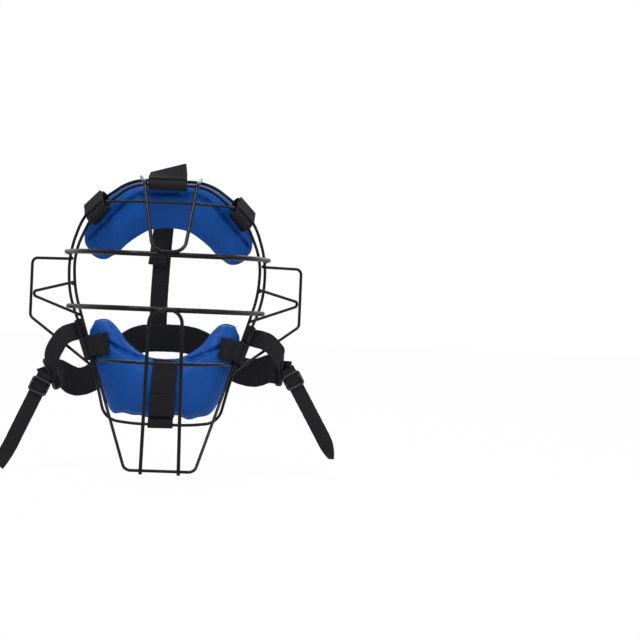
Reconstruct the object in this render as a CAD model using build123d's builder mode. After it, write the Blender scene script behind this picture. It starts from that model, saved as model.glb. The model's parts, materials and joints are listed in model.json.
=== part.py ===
from build123d import *
import os
from math import asin, cos, radians, sin, tan

os.makedirs("parts", exist_ok=True)

# A wire face guard for softball and baseball, as worn: +Z is up, the wearer looks along -Y and the
# origin lies in the middle of the face opening, level with the lower eye bar. Left and right are
# as seen from the front. All sizes are in millimetres.

# Wires of the cage
rim_wire = 3.0
eye_bar_wire = 5.0
guard_wire = 3.5
thin_wire = 2.4
weld_sink = 0.3

# Rear rim, measured on the middle of its wire
rim_half_width = 100.0
rim_top = 128.0
rim_chin = 114.0
rim_bow = 33.0
rim_front = -6.0

# Front rim and the throat guard that it ends in
front_inset = 7.0
front_half_width = rim_half_width - front_inset
front_top = 122.0
front_lead = 18.0
front_bow = 33.0
throat_half_width = 33.5
throat_drop = 154.5
throat_reach = 50.0
throat_corner = 8.0
cheek_inset = 30.5
cheek_half_width = rim_half_width - cheek_inset
cheek_drop = 55.0
cheek_back = 6.8

# Bars across the face
eye_bar_reach = 58.0
brow_height = 55.0
brow_dip = 2.4
lower_bar_height = 0.2
bar_end_overhang = 3.2
bar_end_half_width = rim_half_width + bar_end_overhang
bar_end_back = 26.5
lower_bar_inset = 3.7
forehead_bar_level_share = 0.8525
forehead_bar_height = front_top * forehead_bar_level_share
forehead_bar_end_share = 0.656
forehead_bar_half_width = front_half_width * forehead_bar_end_share
forehead_bar_reach = 34.6
mouth_bar_drop = 51.0
mouth_bar_inset = 0.75

# Guard wires in front of the forehead and the throat
forehead_guard_half_width = 15.0
forehead_guard_spread = 29.5
throat_guard_half_width = 15.5
throat_guard_spread = 18.2
guard_corner = 13.0

# How high on the brow bar the forehead guard wire stands, as a share of the way to its far side
guard_stand_share = 0.7

# How wide the forehead guard wire is where it passes the front rim, as a share of its ends' spread
guard_pass_share = 0.88

# Ear guards
ear_reach = 39.0
ear_half_width = rim_half_width + ear_reach
ear_top = 48.0
ear_drop = 12.0
ear_back = 46.0
ear_corner = 6.0
ear_end_inset = 28.7
ear_end_half_width = rim_half_width - ear_end_inset
ear_end_drop = 59.0
brace_end_drop = 8.8
brace_corner = 3.0
brace_overshoot = 7.8

# Pads: a sewn cover over a foam core
forehead_pad_half_width = 88.5
forehead_pad_top = 126.0
forehead_pad_thickness = 28.0
chin_pad_half_width = 79.0
chin_pad_drop = 107.0
chin_pad_thickness = 30.0
cover_wall = 1.4
foam_fit = 0.3

# Hook-and-loop straps that hold the pads to the rims
strap_thickness = 1.8
strap_fit = 1.7
strap_gap = 0.3
strap_width = 24.0
cheek_strap_width = 18.0
forehead_tongue = 14.0
cheek_tongue = 12.0
top_tongue = 18.0
top_strap_width = 38.0
chin_strap_width = 25.0

# Harness webbing, elastic band and hardware
web_width = 19.0
web_thickness = 1.7
web_fit = 0.8
web_stand = 2.6
band_stand = 0.7
band_width = 30.0
band_thickness = 2.4
band_back = 106.0
band_drop = 30.5
crown_height = 129.0
crown_shift = 8.0
ring_half_widths = {"left": 114.7, "right": 120.4}
fold_shift = 5.0
ring_back = 44.0
ring_drops = {"left": 70.2, "right": 57.0}
ring_length = 35.0
ring_depth = 10.0
ring_wire = 3.0
tail_length = 100.0
tail_width = 15.0
slider_length = 16.0
slider_wall = 2.0
slider_place = 9.0
slider_gap = 0.3
tail_step = 3.0
tail_outs = {"left": 1.5, "right": 3.0}
tail_lead = 2.0

# How far a tail leans outwards, as a share of its length
tail_lean_shares = {"left": 0.407, "right": 0.5}

# The way the band leaves a ring, inwards, backwards and upwards, and how far the ring leans out at its
# top as a share of its height
ring_way_shares = {"left": (0.6, 0.77, 0.2), "right": (0.62, 0.78, -0.02)}
ring_lean_shares = {"left": 0.44, "right": 0.03}

tail_corner_share = 0.5
ring_corner_share = 0.33
rail_edge_share = 0.25

# How much of the shorter run an arc may take at each of its ends
bend_share = 0.45

# How deep in the bow of the rear rim an ear guard ends, how high its brace starts and turns as shares
# of the ear guard's top, and how much further back than out the brace's turn lies
ear_end_share = 0.4
brace_start_share = 0.5
brace_turn_share = 0.25
brace_back_share = 0.7


def bend_radii(points, limit=None):
    """Radii that turn a route of straight runs into smoothly bent wire."""
    radii = []
    for before, here, after in zip(points, points[1:], points[2:]):
        first = Vector(*here) - Vector(*before)
        second = Vector(*after) - Vector(*here)
        turn = radians(first.get_angle(second))
        radius = bend_share * min(first.length, second.length) / tan(turn / 2)
        radii.append(min(radius, limit) if limit else radius)
    return radii


def start_plane(path):
    """The plane square to a path at its start."""
    return Plane(origin=path.line @ 0, z_dir=path.line % 0)


def finish(piece, label):
    """Names a finished piece and writes its file."""
    piece.label = label
    export_step(piece, f"parts/{label}.step")


# Cage: routes run from the middle of the face out to the right, and are mirrored to the left
rim_shares = [(0, 0, 1), (0.38, 0, 1), (0.85, 0.58, 0.75), (1.0, 0.95, 0.42), (0.99, 1.0, 0.10)]
rear_points = [(x * rim_half_width, rim_front + y * rim_bow, z * rim_top) for x, y, z in rim_shares]
lower_rim_shares = [(0.695, 0.26, 0.52), (0.565, 0.09, 0.97), (0.28, 0, 1), (0, 0, 1)]
rear_points += [
    (x * rim_half_width, rim_front + y * rim_bow, -z * rim_chin) for x, y, z in lower_rim_shares
]

with BuildPart() as rear_rim:
    with BuildLine() as rear_path:
        FilletPolyline(*rear_points, radius=bend_radii(rear_points))
    with BuildSketch(start_plane(rear_path)):
        Circle(rim_wire / 2)
    sweep()
    mirror(about=Plane.YZ)
finish(rear_rim.part, "rear_rim")

front_start = rim_front - front_lead
front_shares = [(0, 0, 1), (0.39, 0, 1), (0.82, 0.55, 0.75), (1.005, 0.94, 0.44), (0.99, 1.0, 0.14)]
front_points = [
    (x * front_half_width, front_start + y * front_bow, z * front_top) for x, y, z in front_shares
]
front_points += [
    (cheek_half_width, cheek_back, -cheek_drop),
    (throat_half_width, -throat_reach, -throat_drop),
    (0, -throat_reach, -throat_drop),
]
front_radii = bend_radii(front_points)
front_radii[-1] = throat_corner

with BuildPart() as front_rim:
    with BuildLine() as front_path:
        FilletPolyline(*front_points, radius=front_radii)
    with BuildSketch(start_plane(front_path)):
        Circle(rim_wire / 2)
    sweep()
    mirror(about=Plane.YZ)
finish(front_rim.part, "front_rim")

# The eye bars bow out in front of the face and end on the outside of both rims. A share of the
# half width goes with a share of the reach.
brow_bar_shares = [(0, 1), (0.475, 1), (0.813, 0.431)]
lower_bar_shares = [(0, 1), (0.46, 1), (0.77, 0.431)]
eye_bars = {
    "brow_bar": (0, brow_height, brow_dip, brow_bar_shares),
    "lower_eye_bar": (lower_bar_inset, lower_bar_height, 0, lower_bar_shares),
}
for bar_name, (inset, height, dip, bar_shares) in eye_bars.items():
    bar_points = [
        (x * (bar_end_half_width - inset), -y * eye_bar_reach, height - y * dip) for x, y in bar_shares
    ]
    bar_points.append((bar_end_half_width - inset, bar_end_back, height))
    with BuildPart() as eye_bar:
        with BuildLine() as bar_path:
            FilletPolyline(*bar_points, radius=bend_radii(bar_points))
        with BuildSketch(start_plane(bar_path)):
            Circle(eye_bar_wire / 2)
        sweep()
        bar_tip = eye_bar.faces().sort_by_distance(bar_path.line @ 1)[0]
        fillet(bar_tip.edges(), eye_bar_wire * bend_share)
        mirror(about=Plane.YZ)
    finish(eye_bar.part, bar_name)

forehead_bar_shares = [(0, 1), (0.46, 1), (1, 0.434)]
forehead_bar_points = [
    (x * forehead_bar_half_width, -y * forehead_bar_reach, forehead_bar_height)
    for x, y in forehead_bar_shares
]
with BuildPart() as forehead_bar:
    with BuildLine() as forehead_bar_path:
        FilletPolyline(*forehead_bar_points, radius=bend_radii(forehead_bar_points))
    with BuildSketch(start_plane(forehead_bar_path)):
        Circle(thin_wire / 2)
    sweep()
    mirror(about=Plane.YZ)
finish(forehead_bar.part, "forehead_bar")

# The throat guard wire hangs from the lower eye bar in front of the mouth bar and the throat guard
guard_rest = (eye_bar_wire + guard_wire) / 2 - weld_sink
throat_front = -eye_bar_reach - guard_rest
throat_foot = -throat_reach - (rim_wire + guard_wire) / 2 + weld_sink
throat_guard_points = [
    (0, throat_front, lower_bar_height),
    (throat_guard_half_width, throat_front, lower_bar_height),
    (throat_guard_spread, throat_foot, -throat_drop - rim_wire),
]
throat_guard_radii = bend_radii(throat_guard_points, guard_corner)
throat_guard_radii[0] = guard_corner
with BuildPart() as throat_guard_wire:
    with BuildLine() as throat_guard_path:
        FilletPolyline(*throat_guard_points, radius=throat_guard_radii)
    with BuildSketch(start_plane(throat_guard_path)):
        Circle(guard_wire / 2)
    sweep()
    mirror(about=Plane.YZ)
finish(throat_guard_wire.part, "throat_guard_wire")

guard_slope = (throat_foot - throat_front) / (lower_bar_height + throat_drop + rim_wire)
mouth_bar_reach = throat_front + mouth_bar_drop * guard_slope + (guard_wire + rim_wire) / 2 - weld_sink
mouth_bar_shares = [(0, 1), (0.5, 1), (0.9, 0.5)]
mouth_bar_points = [
    (x * cheek_half_width, y * mouth_bar_reach, -mouth_bar_drop) for x, y in mouth_bar_shares
]
mouth_bar_points.append((cheek_half_width - mouth_bar_inset, cheek_back / 2, -mouth_bar_drop))
with BuildPart() as mouth_bar:
    with BuildLine() as mouth_bar_path:
        FilletPolyline(*mouth_bar_points, radius=bend_radii(mouth_bar_points))
    with BuildSketch(start_plane(mouth_bar_path)):
        Circle(rim_wire / 2)
    sweep()
    mirror(about=Plane.YZ)
finish(mouth_bar.part, "mouth_bar")

# The forehead guard wire stands on the brow bar and ends over both rims
guard_stand = guard_rest * guard_stand_share
guard_front = -eye_bar_reach - guard_stand
guard_foot = brow_height - brow_dip + guard_stand
forehead_guard_points = [
    (0, guard_front, guard_foot),
    (forehead_guard_half_width, guard_front, guard_foot),
    (forehead_guard_spread * guard_pass_share, front_start - guard_wire, front_top + guard_wire / 2),
    (forehead_guard_spread, rim_front + rim_wire, rim_top + guard_wire - weld_sink),
]
forehead_guard_radii = bend_radii(forehead_guard_points, guard_corner)
forehead_guard_radii[0] = guard_corner
with BuildPart() as forehead_guard_wire:
    with BuildLine() as forehead_guard_path:
        FilletPolyline(*forehead_guard_points, radius=forehead_guard_radii)
    with BuildSketch(start_plane(forehead_guard_path)):
        Circle(guard_wire / 2)
    sweep()
    mirror(about=Plane.YZ)
finish(forehead_guard_wire.part, "forehead_guard_wire")

# Ear guards: a bent loop on each side of the rear rim, with a V brace from the front rim
ear_points = [
    (rim_half_width - rim_wire, rim_front + rim_bow + weld_sink, ear_top),
    (ear_half_width, ear_back, ear_top),
    (ear_half_width, ear_back, -ear_drop),
    (ear_end_half_width, rim_front + rim_bow * ear_end_share, -ear_end_drop),
]
brace_start = (
    front_half_width + rim_wire / 2 - weld_sink * 2,
    front_start + front_bow + rim_wire / 2,
    ear_top * brace_start_share,
)
brace_turn = (
    ear_half_width - rim_wire + brace_overshoot,
    ear_back + brace_overshoot * brace_back_share,
    ear_top * brace_turn_share,
)
brace_end = (front_half_width - rim_wire * 3, cheek_back + weld_sink, -brace_end_drop)
brace_points = [brace_start, brace_turn, brace_end]
with BuildPart() as right_ear_guard:
    with BuildLine() as ear_path:
        FilletPolyline(*ear_points, radius=bend_radii(ear_points, ear_corner))
    with BuildSketch(start_plane(ear_path)):
        Circle(rim_wire / 2)
    sweep()
with BuildPart() as left_ear_guard:
    mirror(right_ear_guard.part, about=Plane.YZ)
finish(right_ear_guard.part, "right_ear_guard")
finish(left_ear_guard.part, "left_ear_guard")

with BuildPart() as right_ear_brace:
    with BuildLine() as brace_path:
        FilletPolyline(*brace_points, radius=bend_radii(brace_points, brace_corner))
    with BuildSketch(start_plane(brace_path)):
        Circle(rim_wire / 2)
    sweep()
with BuildPart() as left_ear_brace:
    mirror(right_ear_brace.part, about=Plane.YZ)
finish(right_ear_brace.part, "right_ear_brace")
finish(left_ear_brace.part, "left_ear_brace")


# Pads: crowned cushions behind the rear rim, lofted through upright sections from side to side.
# A station is a share of the half width, of the height of the lower and the upper edge, and of
# the thickness.
pad_front = rim_front + rim_wire / 2 + strap_fit + strap_thickness + strap_gap
forehead_shares = [
    (0, 0.655, 1.0, 1.0),
    (0.25, 0.647, 0.988, 1.0),
    (0.43, 0.548, 0.944, 0.98),
    (0.59, 0.448, 0.889, 0.95),
    (0.75, 0.389, 0.81, 0.88),
    (0.88, 0.413, 0.714, 0.72),
    (0.97, 0.49, 0.63, 0.45),
    (1.0, 0.52, 0.6, 0.25),
]
chin_shares = [
    (0, 0.99, 0.449, 1.0),
    (0.2, 0.986, 0.439, 1.0),
    (0.38, 0.986, 0.374, 1.0),
    (0.53, 1.0, 0.29, 1.0),
    (0.66, 0.963, 0.192, 0.97),
    (0.785, 0.794, 0.121, 0.9),
    (0.873, 0.57, 0.103, 0.8),
    (0.95, 0.402, 0.131, 0.6),
    (1.0, 0.308, 0.196, 0.3),
]
corner_share = 0.28
side_share = 0.43


def pad_sections(shares, half_width, height, thickness, inset):
    """Planes across a pad from left to right, each with its section's height and thickness."""
    mirrored = [(-x, low, high, thick) for x, low, high, thick in reversed(shares[1:])]
    sections = []
    for x_share, low, high, thick in mirrored + shares:
        x = x_share * (half_width - inset)
        depth = thick * thickness
        front = pad_front + rim_bow * (x / rim_half_width) ** 2
        middle = (x, front + depth / 2, (low + high) / 2 * height)
        plane = Plane(origin=middle, x_dir=(0, 1, 0), z_dir=(1, 0, 0))
        sections.append((plane, abs((high - low) * height) - 2 * inset, depth - 2 * inset))
    return sections


def cushion(shares, half_width, height, thickness, inset=0):
    """A closed cushion form: a loft through crowned sections with drawn-in corners."""
    with BuildPart() as form:
        for plane, tall, deep in pad_sections(shares, half_width, height, thickness, inset):
            edge, side = deep * corner_share, tall * side_share
            corners = [(-edge, -side), (edge, -side), (edge, side), (-edge, side)]
            crowns = [(0, -tall / 2), (deep / 2, 0), (0, tall / 2), (-deep / 2, 0)]
            with BuildSketch(plane):
                with BuildLine():
                    for k, crown in enumerate(crowns):
                        ThreePointArc(corners[k], crown, corners[(k + 1) % 4])
                make_face()
        loft()
    return form.part


pads = {
    "forehead_pad": (forehead_shares, forehead_pad_half_width, forehead_pad_top, forehead_pad_thickness),
    "chin_pad": (chin_shares, chin_pad_half_width, -chin_pad_drop, chin_pad_thickness),
}
for pad_name, pad_sizes in pads.items():
    with BuildPart() as pad_cover:
        add(cushion(*pad_sizes))
        add(cushion(*pad_sizes, inset=cover_wall), mode=Mode.SUBTRACT)
    with BuildPart() as pad_foam:
        add(cushion(*pad_sizes, inset=cover_wall + foam_fit))
    finish(pad_cover.part, f"{pad_name}_cover")
    finish(pad_foam.part, f"{pad_name}_foam")

# Hook-and-loop straps: each is a sewn loop round both rims with a flap that presses on its outer
# side. A seat is how far along the two rims, as a share of their length, the loop sits.
loop_bore = rim_wire + 2 * strap_fit
loop_height = loop_bore + 2 * strap_thickness
strap_back = rim_wire / 2 + strap_fit + strap_thickness


def rim_seat(rear_share, front_share):
    """The plane across both rims with Y outwards, one upright at the rear rim, and their distance."""
    rear = rear_path.line @ rear_share
    front = front_path.line @ front_share
    along = rear_path.line % rear_share + front_path.line % front_share
    plane = Plane(origin=(rear + front) / 2, x_dir=rear - front, z_dir=along)
    behind = Plane(origin=rear, x_dir=(-2 * rim_bow * rear.X / rim_half_width**2, 1, 0), z_dir=along)
    return plane, behind, (rear - front).length


def rim_loop(seat, width, tongue=0):
    """A band that runs closely round both rims, with a tongue down the front of the pad."""
    plane, behind, spread = seat
    with BuildPart() as loop:
        if tongue:
            with BuildSketch(behind):
                with Locations((strap_back - strap_thickness / 2, -tongue / 2)):
                    Rectangle(strap_thickness, tongue)
            extrude(amount=width / 2, both=True)
        with BuildSketch(plane):
            SlotCenterToCenter(spread, loop_height)
        extrude(amount=width / 2, both=True)
        with BuildSketch(plane):
            SlotCenterToCenter(spread, loop_bore)
        extrude(amount=width / 2, both=True, mode=Mode.SUBTRACT)
    return loop.part


def flap_axis(seat):
    """The middle of the sewn end of a flap, at the loop's front."""
    plane, _, spread = seat
    return plane.from_local_coords((-spread / 2, loop_height / 2 + strap_gap + strap_thickness / 2, 0))


def flap(seat, width):
    """A flat tab that lies on the outer side of a loop, round at its sewn end."""
    plane, _, spread = seat
    with BuildPart() as tab:
        with BuildSketch(plane):
            with Locations((0, loop_height / 2 + strap_gap + strap_thickness / 2)):
                SlotCenterToCenter(spread, strap_thickness)
        extrude(amount=width / 2, both=True)
    return tab.part


forehead_seat_shares = (0.235, 0.195)
cheek_seat_shares = (0.653, 0.581)
seats = {
    "forehead_strap": (rim_seat(*forehead_seat_shares), strap_width, forehead_tongue),
    "cheek_strap": (rim_seat(*cheek_seat_shares), cheek_strap_width, cheek_tongue),
}
for strap_name, (seat, width, tongue) in seats.items():
    for side in ("right", "left"):
        with BuildPart() as strap:
            add(rim_loop(seat, width, tongue))
            if side == "left":
                mirror(about=Plane.YZ, mode=Mode.REPLACE)
        with BuildPart() as strap_flap:
            add(flap(seat, width))
            if side == "left":
                mirror(about=Plane.YZ, mode=Mode.REPLACE)
        finish(strap.part, f"{side}_{strap_name}")
        finish(strap_flap.part, f"{side}_{strap_name}_flap")
    print(strap_name, "flap hinge", flap_axis(seat), "along", seat[0].z_dir)

top_seat = rim_seat(0, 0)
with BuildPart() as top_strap:
    add(rim_loop(top_seat, top_strap_width, top_tongue))
with BuildPart() as top_strap_flap:
    add(flap(top_seat, top_strap_width))
finish(top_strap.part, "top_strap")
finish(top_strap_flap.part, "top_strap_flap")
print("top_strap flap hinge", flap_axis(top_seat), "along", top_seat[0].z_dir)

# The chin strap runs up the front of the chin pad from a loop that hangs on the bottom of the rear rim
chin_seat = rear_path.line @ 1 + Vector(0, 0, strap_fit - strap_gap)
chin_strip_length = rim_chin - mouth_bar_drop
with BuildPart() as chin_strap:
    with BuildSketch(Plane(origin=chin_seat, x_dir=(0, 1, 0), z_dir=(1, 0, 0))):
        Circle(strap_back)
        with Locations((strap_back - strap_thickness / 2, chin_strip_length / 2)):
            Rectangle(strap_thickness, chin_strip_length)
        Circle(strap_back - strap_thickness, mode=Mode.SUBTRACT)
    extrude(amount=chin_strap_width / 2, both=True)
finish(chin_strap.part, "chin_strap")

chin_flap_share = 0.33
flap_length = chin_strip_length * chin_flap_share
flap_depth = strap_back - strap_thickness * 1.5 - strap_gap
flap_foot = strap_back + strap_thickness
with BuildPart() as chin_strap_flap:
    with BuildSketch(Plane(origin=chin_seat, x_dir=(0, 1, 0), z_dir=(1, 0, 0))):
        with Locations((flap_depth, flap_foot + flap_length / 2)):
            SlotCenterToCenter(flap_length, strap_thickness, rotation=90)
    extrude(amount=chin_strap_width / 2, both=True)
finish(chin_strap_flap.part, "chin_strap_flap")
print("chin_strap flap hinge", chin_seat + Vector(0, flap_depth, flap_foot), "along X")

# Harness: flat webbing lofted through rectangles square to its run


def strap_planes(points, first_width, last_width=None):
    """Planes square to a strap's run, with X across the strap, turning from first to last."""
    planes = []
    turn = Vector(*(last_width or first_width)) - Vector(*first_width)
    for k, point in enumerate(points):
        before = Vector(*points[max(k - 1, 0)])
        after = Vector(*points[min(k + 1, len(points) - 1)])
        across = Vector(*first_width) + turn * (k / (len(points) - 1))
        planes.append(Plane(origin=point, x_dir=across, z_dir=after - before))
    return planes


crown_shares = [(0, 0.0, 1.0), (0.1, 0.3, 1.0), (0.35, 0.72, 0.88), (0.7, 0.95, 0.58), (0.95, 1.0, 0.2)]
crown_start = rim_front + loop_height / 2 + strap_gap
crown_back = band_back + (band_thickness + web_thickness) / 2 + strap_gap
crown_points = [
    (-x * crown_shift, crown_start + y * (crown_back - crown_start), z * crown_height)
    for x, y, z in crown_shares
]
crown_points += [(-crown_shift, crown_back, 0), (-crown_shift, crown_back, -band_drop)]
with BuildPart() as crown_strap:
    for plane in strap_planes(crown_points, (1, 0, 0)):
        with BuildSketch(plane):
            Rectangle(web_width, web_thickness)
    loft()
finish(crown_strap.part, "crown_strap")

# The fold is sewn on the front of the strap: shares of the strap's run, and of the fold's shift
fold_stand = web_thickness + 3 * strap_gap
fold_shares = [(0.66, 1.0), (0.6, 0.8), (0.54, 0.65), (0.48, 0.5)]
with BuildLine() as crown_path:
    Spline(*crown_points)
fold_points = []
for along_share, shift_share in fold_shares:
    square = (crown_path.line % along_share).cross(Vector(1, 0, 0))
    fold_points.append(
        crown_path.line @ along_share + square * fold_stand - Vector(fold_shift * shift_share, 0, 0)
    )
with BuildPart() as crown_strap_fold:
    for plane in strap_planes(fold_points, (1, 0, 0)):
        with BuildSketch(plane):
            Rectangle(web_width, web_thickness)
    loft()
finish(crown_strap_fold.part, "crown_strap_fold")

# The elastic band arches from one band ring to the other round the back of the head
band_shares = [(0, 1.0, 0), (0.25, 0.98, 0.08), (0.44, 0.92, 0.5), (0.62, 0.78, 1.05)]
band_shares += [(0.79, 0.57, 1.24), (0.93, 0.28, 1.0)]
sides = {"left": -1, "right": 1}


def band_point(x_share, y_share, z_share, side):
    """A point on the middle of the band."""
    rise = ring_drops[side] - band_drop
    back = ring_back + y_share * (band_back - ring_back)
    return Vector(sides[side] * x_share * ring_half_widths[side], back, -band_drop - z_share * rise)


def ring_upright(side):
    """The long way of a ring, square to the way the band leaves it."""
    inwards, backwards, upwards = ring_way_shares[side]
    lean = ring_lean_shares[side]
    return Vector(sides[side] * lean, (lean * inwards - upwards) / backwards, 1).normalized()


ring_middles = {side: band_point(1, 0, 1, side) for side in sides}
band_ways = {
    side: Vector(-sign * ring_way_shares[side][0], *ring_way_shares[side][1:]).normalized()
    for side, sign in sides.items()
}
band_ends = {side: ring_middles[side] + band_ways[side] * (ring_depth / 2 + band_stand) for side in sides}
left_points = [band_point(*place, "left") for place in reversed(band_shares[1:])]
right_points = [band_point(*place, "right") for place in band_shares]
with BuildPart() as back_band:
    band_points = [band_ends["left"]] + left_points + right_points + [band_ends["right"]]
    band_planes = strap_planes(band_points, (0, 0, 1))
    for side, place in (("left", 0), ("right", -1)):
        run_way = band_ways[side] * -sides[side]
        band_planes[place] = Plane(origin=band_ends[side], x_dir=ring_upright(side), z_dir=run_way)
    for plane in band_planes:
        with BuildSketch(plane):
            Rectangle(band_width, band_thickness)
    loft()
finish(back_band.part, "back_band")

# On each side a web, sewn round the rear rim, runs to the band ring. A narrower tail swings from the
# ring, and a slider runs along the tail.
web_seat_share = 0.598
web_seat_way = rear_path.line % web_seat_share
web_outward = Vector(-web_seat_way.Z, 0, web_seat_way.X).normalized()
web_seat = Plane(origin=rear_path.line @ web_seat_share, x_dir=web_outward, z_dir=web_seat_way)
web_loop_bore = rim_wire + 2 * web_fit
web_shares = [(0, 0, 0), (0.28, 0.04, 0.08), (0.54, 0.16, 0.24), (0.8, 0.5, 0.58), (1, 1, 1)]
bar_half = slider_length / 2 - slider_wall / 2
rail_place = tail_width / 2 + slider_gap + slider_wall / 2
bar_lift = web_thickness / 2 + slider_gap + slider_wall / 2
for side, sign in sides.items():
    way = band_ways[side]
    upright = ring_upright(side)
    with BuildPart() as band_ring:
        with BuildSketch(Plane(origin=ring_middles[side], x_dir=upright, z_dir=way.cross(upright))):
            RectangleRounded(ring_length, ring_depth, ring_depth * ring_corner_share)
            RectangleRounded(
                ring_length - 2 * ring_wire, ring_depth - 2 * ring_wire, ring_wire / 2, mode=Mode.SUBTRACT
            )
        extrude(amount=ring_wire / 2, both=True)
    finish(band_ring.part, f"{side}_band_ring")

    with BuildPart() as web_loop:
        with BuildSketch(web_seat):
            Circle(web_loop_bore / 2 + strap_thickness)
            Circle(web_loop_bore / 2, mode=Mode.SUBTRACT)
        extrude(amount=web_width / 2, both=True)
        if side == "left":
            mirror(about=Plane.YZ, mode=Mode.REPLACE)
    finish(web_loop.part, f"{side}_web_loop")

    web_start = web_seat.from_local_coords((web_loop_bore / 2 + strap_thickness * 2 + strap_gap, 0, 0))
    web_start = Vector(sign * web_start.X, web_start.Y, web_start.Z)
    web_end = ring_middles[side] - way * (ring_depth / 2 + web_stand)
    run = web_end - web_start
    web_points = [web_start + Vector(run.X * x, run.Y * y, run.Z * z) for x, y, z in web_shares]
    rim_way = web_seat.z_dir
    with BuildPart() as side_web:
        for plane in strap_planes(
            web_points, (-sign * rim_way.X, -rim_way.Y, -rim_way.Z), (-sign * run.Z, 0, sign * run.X)
        ):
            with BuildSketch(plane):
                Rectangle(web_width, web_thickness)
        loft()
    finish(side_web.part, f"{side}_side_web")

    lean = asin(tail_lean_shares[side])
    down = Vector(sign * sin(lean), 0, -cos(lean))
    tail_top = web_end + down * tail_step + Vector(sign * tail_outs[side], -tail_lead, 0)
    tail_plane = Plane(origin=tail_top, x_dir=(cos(lean), 0, sign * sin(lean)), z_dir=(0, -1, 0))
    with BuildPart() as tail:
        with BuildSketch(tail_plane):
            with Locations((0, -tail_length / 2)):
                RectangleRounded(tail_width, tail_length, web_thickness * tail_corner_share)
        extrude(amount=web_thickness / 2, both=True)
    finish(tail.part, f"{side}_tail")
    print(side, "tail hinge", tail_top, "across", tail_plane.x_dir, "down", down)

    with BuildPart() as slider:
        for place in (-rail_place, rail_place):
            with Locations(tail_plane * Location((place, -slider_place, 0))):
                Box(slider_wall, slider_length, 2 * bar_lift)
        fillet(slider.edges().filter_by(Axis(tail_top, down)), slider_wall * rail_edge_share)
        for place, lift in ((-bar_half, bar_lift), (bar_half, bar_lift), (0, -bar_lift)):
            with Locations(tail_plane * Location((0, place - slider_place, lift))):
                Box(2 * rail_place, slider_wall, slider_wall)
    finish(slider.part, f"{side}_slider")
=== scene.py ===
import json
import logging
import math
from dataclasses import dataclass, field
from enum import Enum

import bmesh
import bpy
import numpy as np
from mathutils import Matrix, Vector
from mathutils.bvhtree import BVHTree


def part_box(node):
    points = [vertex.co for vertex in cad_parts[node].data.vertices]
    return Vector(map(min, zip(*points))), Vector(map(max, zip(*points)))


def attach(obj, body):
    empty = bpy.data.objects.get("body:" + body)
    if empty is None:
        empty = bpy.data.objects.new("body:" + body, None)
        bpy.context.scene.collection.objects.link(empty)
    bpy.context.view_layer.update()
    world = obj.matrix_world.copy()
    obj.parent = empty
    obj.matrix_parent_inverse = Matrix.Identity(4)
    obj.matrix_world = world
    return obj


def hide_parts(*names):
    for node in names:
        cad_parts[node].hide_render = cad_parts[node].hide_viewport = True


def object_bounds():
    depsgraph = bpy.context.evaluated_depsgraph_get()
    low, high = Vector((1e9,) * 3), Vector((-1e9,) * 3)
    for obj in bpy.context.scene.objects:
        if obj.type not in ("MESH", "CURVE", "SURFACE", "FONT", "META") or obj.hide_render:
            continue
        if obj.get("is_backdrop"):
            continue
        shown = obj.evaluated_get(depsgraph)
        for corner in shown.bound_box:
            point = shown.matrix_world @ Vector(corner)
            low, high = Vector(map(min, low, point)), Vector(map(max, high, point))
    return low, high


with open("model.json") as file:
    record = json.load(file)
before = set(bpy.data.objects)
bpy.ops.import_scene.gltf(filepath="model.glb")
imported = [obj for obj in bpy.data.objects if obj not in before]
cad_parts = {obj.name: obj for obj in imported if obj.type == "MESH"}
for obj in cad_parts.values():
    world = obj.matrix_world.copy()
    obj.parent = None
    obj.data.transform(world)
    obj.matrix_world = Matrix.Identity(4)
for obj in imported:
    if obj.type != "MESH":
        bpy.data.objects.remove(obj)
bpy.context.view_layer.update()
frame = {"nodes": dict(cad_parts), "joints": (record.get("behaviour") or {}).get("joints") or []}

log = logging.getLogger("face_guard")

STITCH_LIFT = 0.0001
SIDES = {"left": -1, "right": 1}
SIDEWAYS = Vector((1, 0, 0))


# Shader and geometry helpers


class Sock:
    """A shader socket that takes part in arithmetic."""

    def __init__(self, shader: "Shader", link: bpy.types.NodeSocket) -> None:
        """Wraps an output socket.

        Args:
            shader: The shader that the socket belongs to.
            link: The output socket.
        """
        self.shader = shader
        self.link = link

    def __add__(self, other: "Sock | float") -> "Sock":
        """Adds a value."""
        return self.shader.maths("ADD", self, other)

    def __radd__(self, other: float) -> "Sock":
        """Adds to a number."""
        return self.shader.maths("ADD", other, self)

    def __sub__(self, other: "Sock | float") -> "Sock":
        """Takes a value away."""
        return self.shader.maths("SUBTRACT", self, other)

    def __rsub__(self, other: float) -> "Sock":
        """Takes this away from a number."""
        return self.shader.maths("SUBTRACT", other, self)

    def __mul__(self, other: "Sock | float") -> "Sock":
        """Multiplies by a value."""
        return self.shader.maths("MULTIPLY", self, other)

    def __rmul__(self, other: float) -> "Sock":
        """Multiplies a number."""
        return self.shader.maths("MULTIPLY", other, self)

    def __truediv__(self, other: "Sock | float") -> "Sock":
        """Divides by a value."""
        return self.shader.maths("DIVIDE", self, other)

    def __pow__(self, other: "Sock | float") -> "Sock":
        """Raises to a power."""
        return self.shader.maths("POWER", self, other)

    def sine(self) -> "Sock":
        """The sine of this value."""
        return self.shader.maths("SINE", self, 0.0)

    def size(self) -> "Sock":
        """The value without its sign."""
        return self.shader.maths("ABSOLUTE", self, 0.0)

    def part(self) -> "Sock":
        """What is left after whole numbers are taken away."""
        return self.shader.maths("FRACT", self, 0.0)

    def over(self, edge: float) -> "Sock":
        """One where this is above an edge, and zero elsewhere."""
        return self.shader.maths("GREATER_THAN", self, edge)


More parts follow.
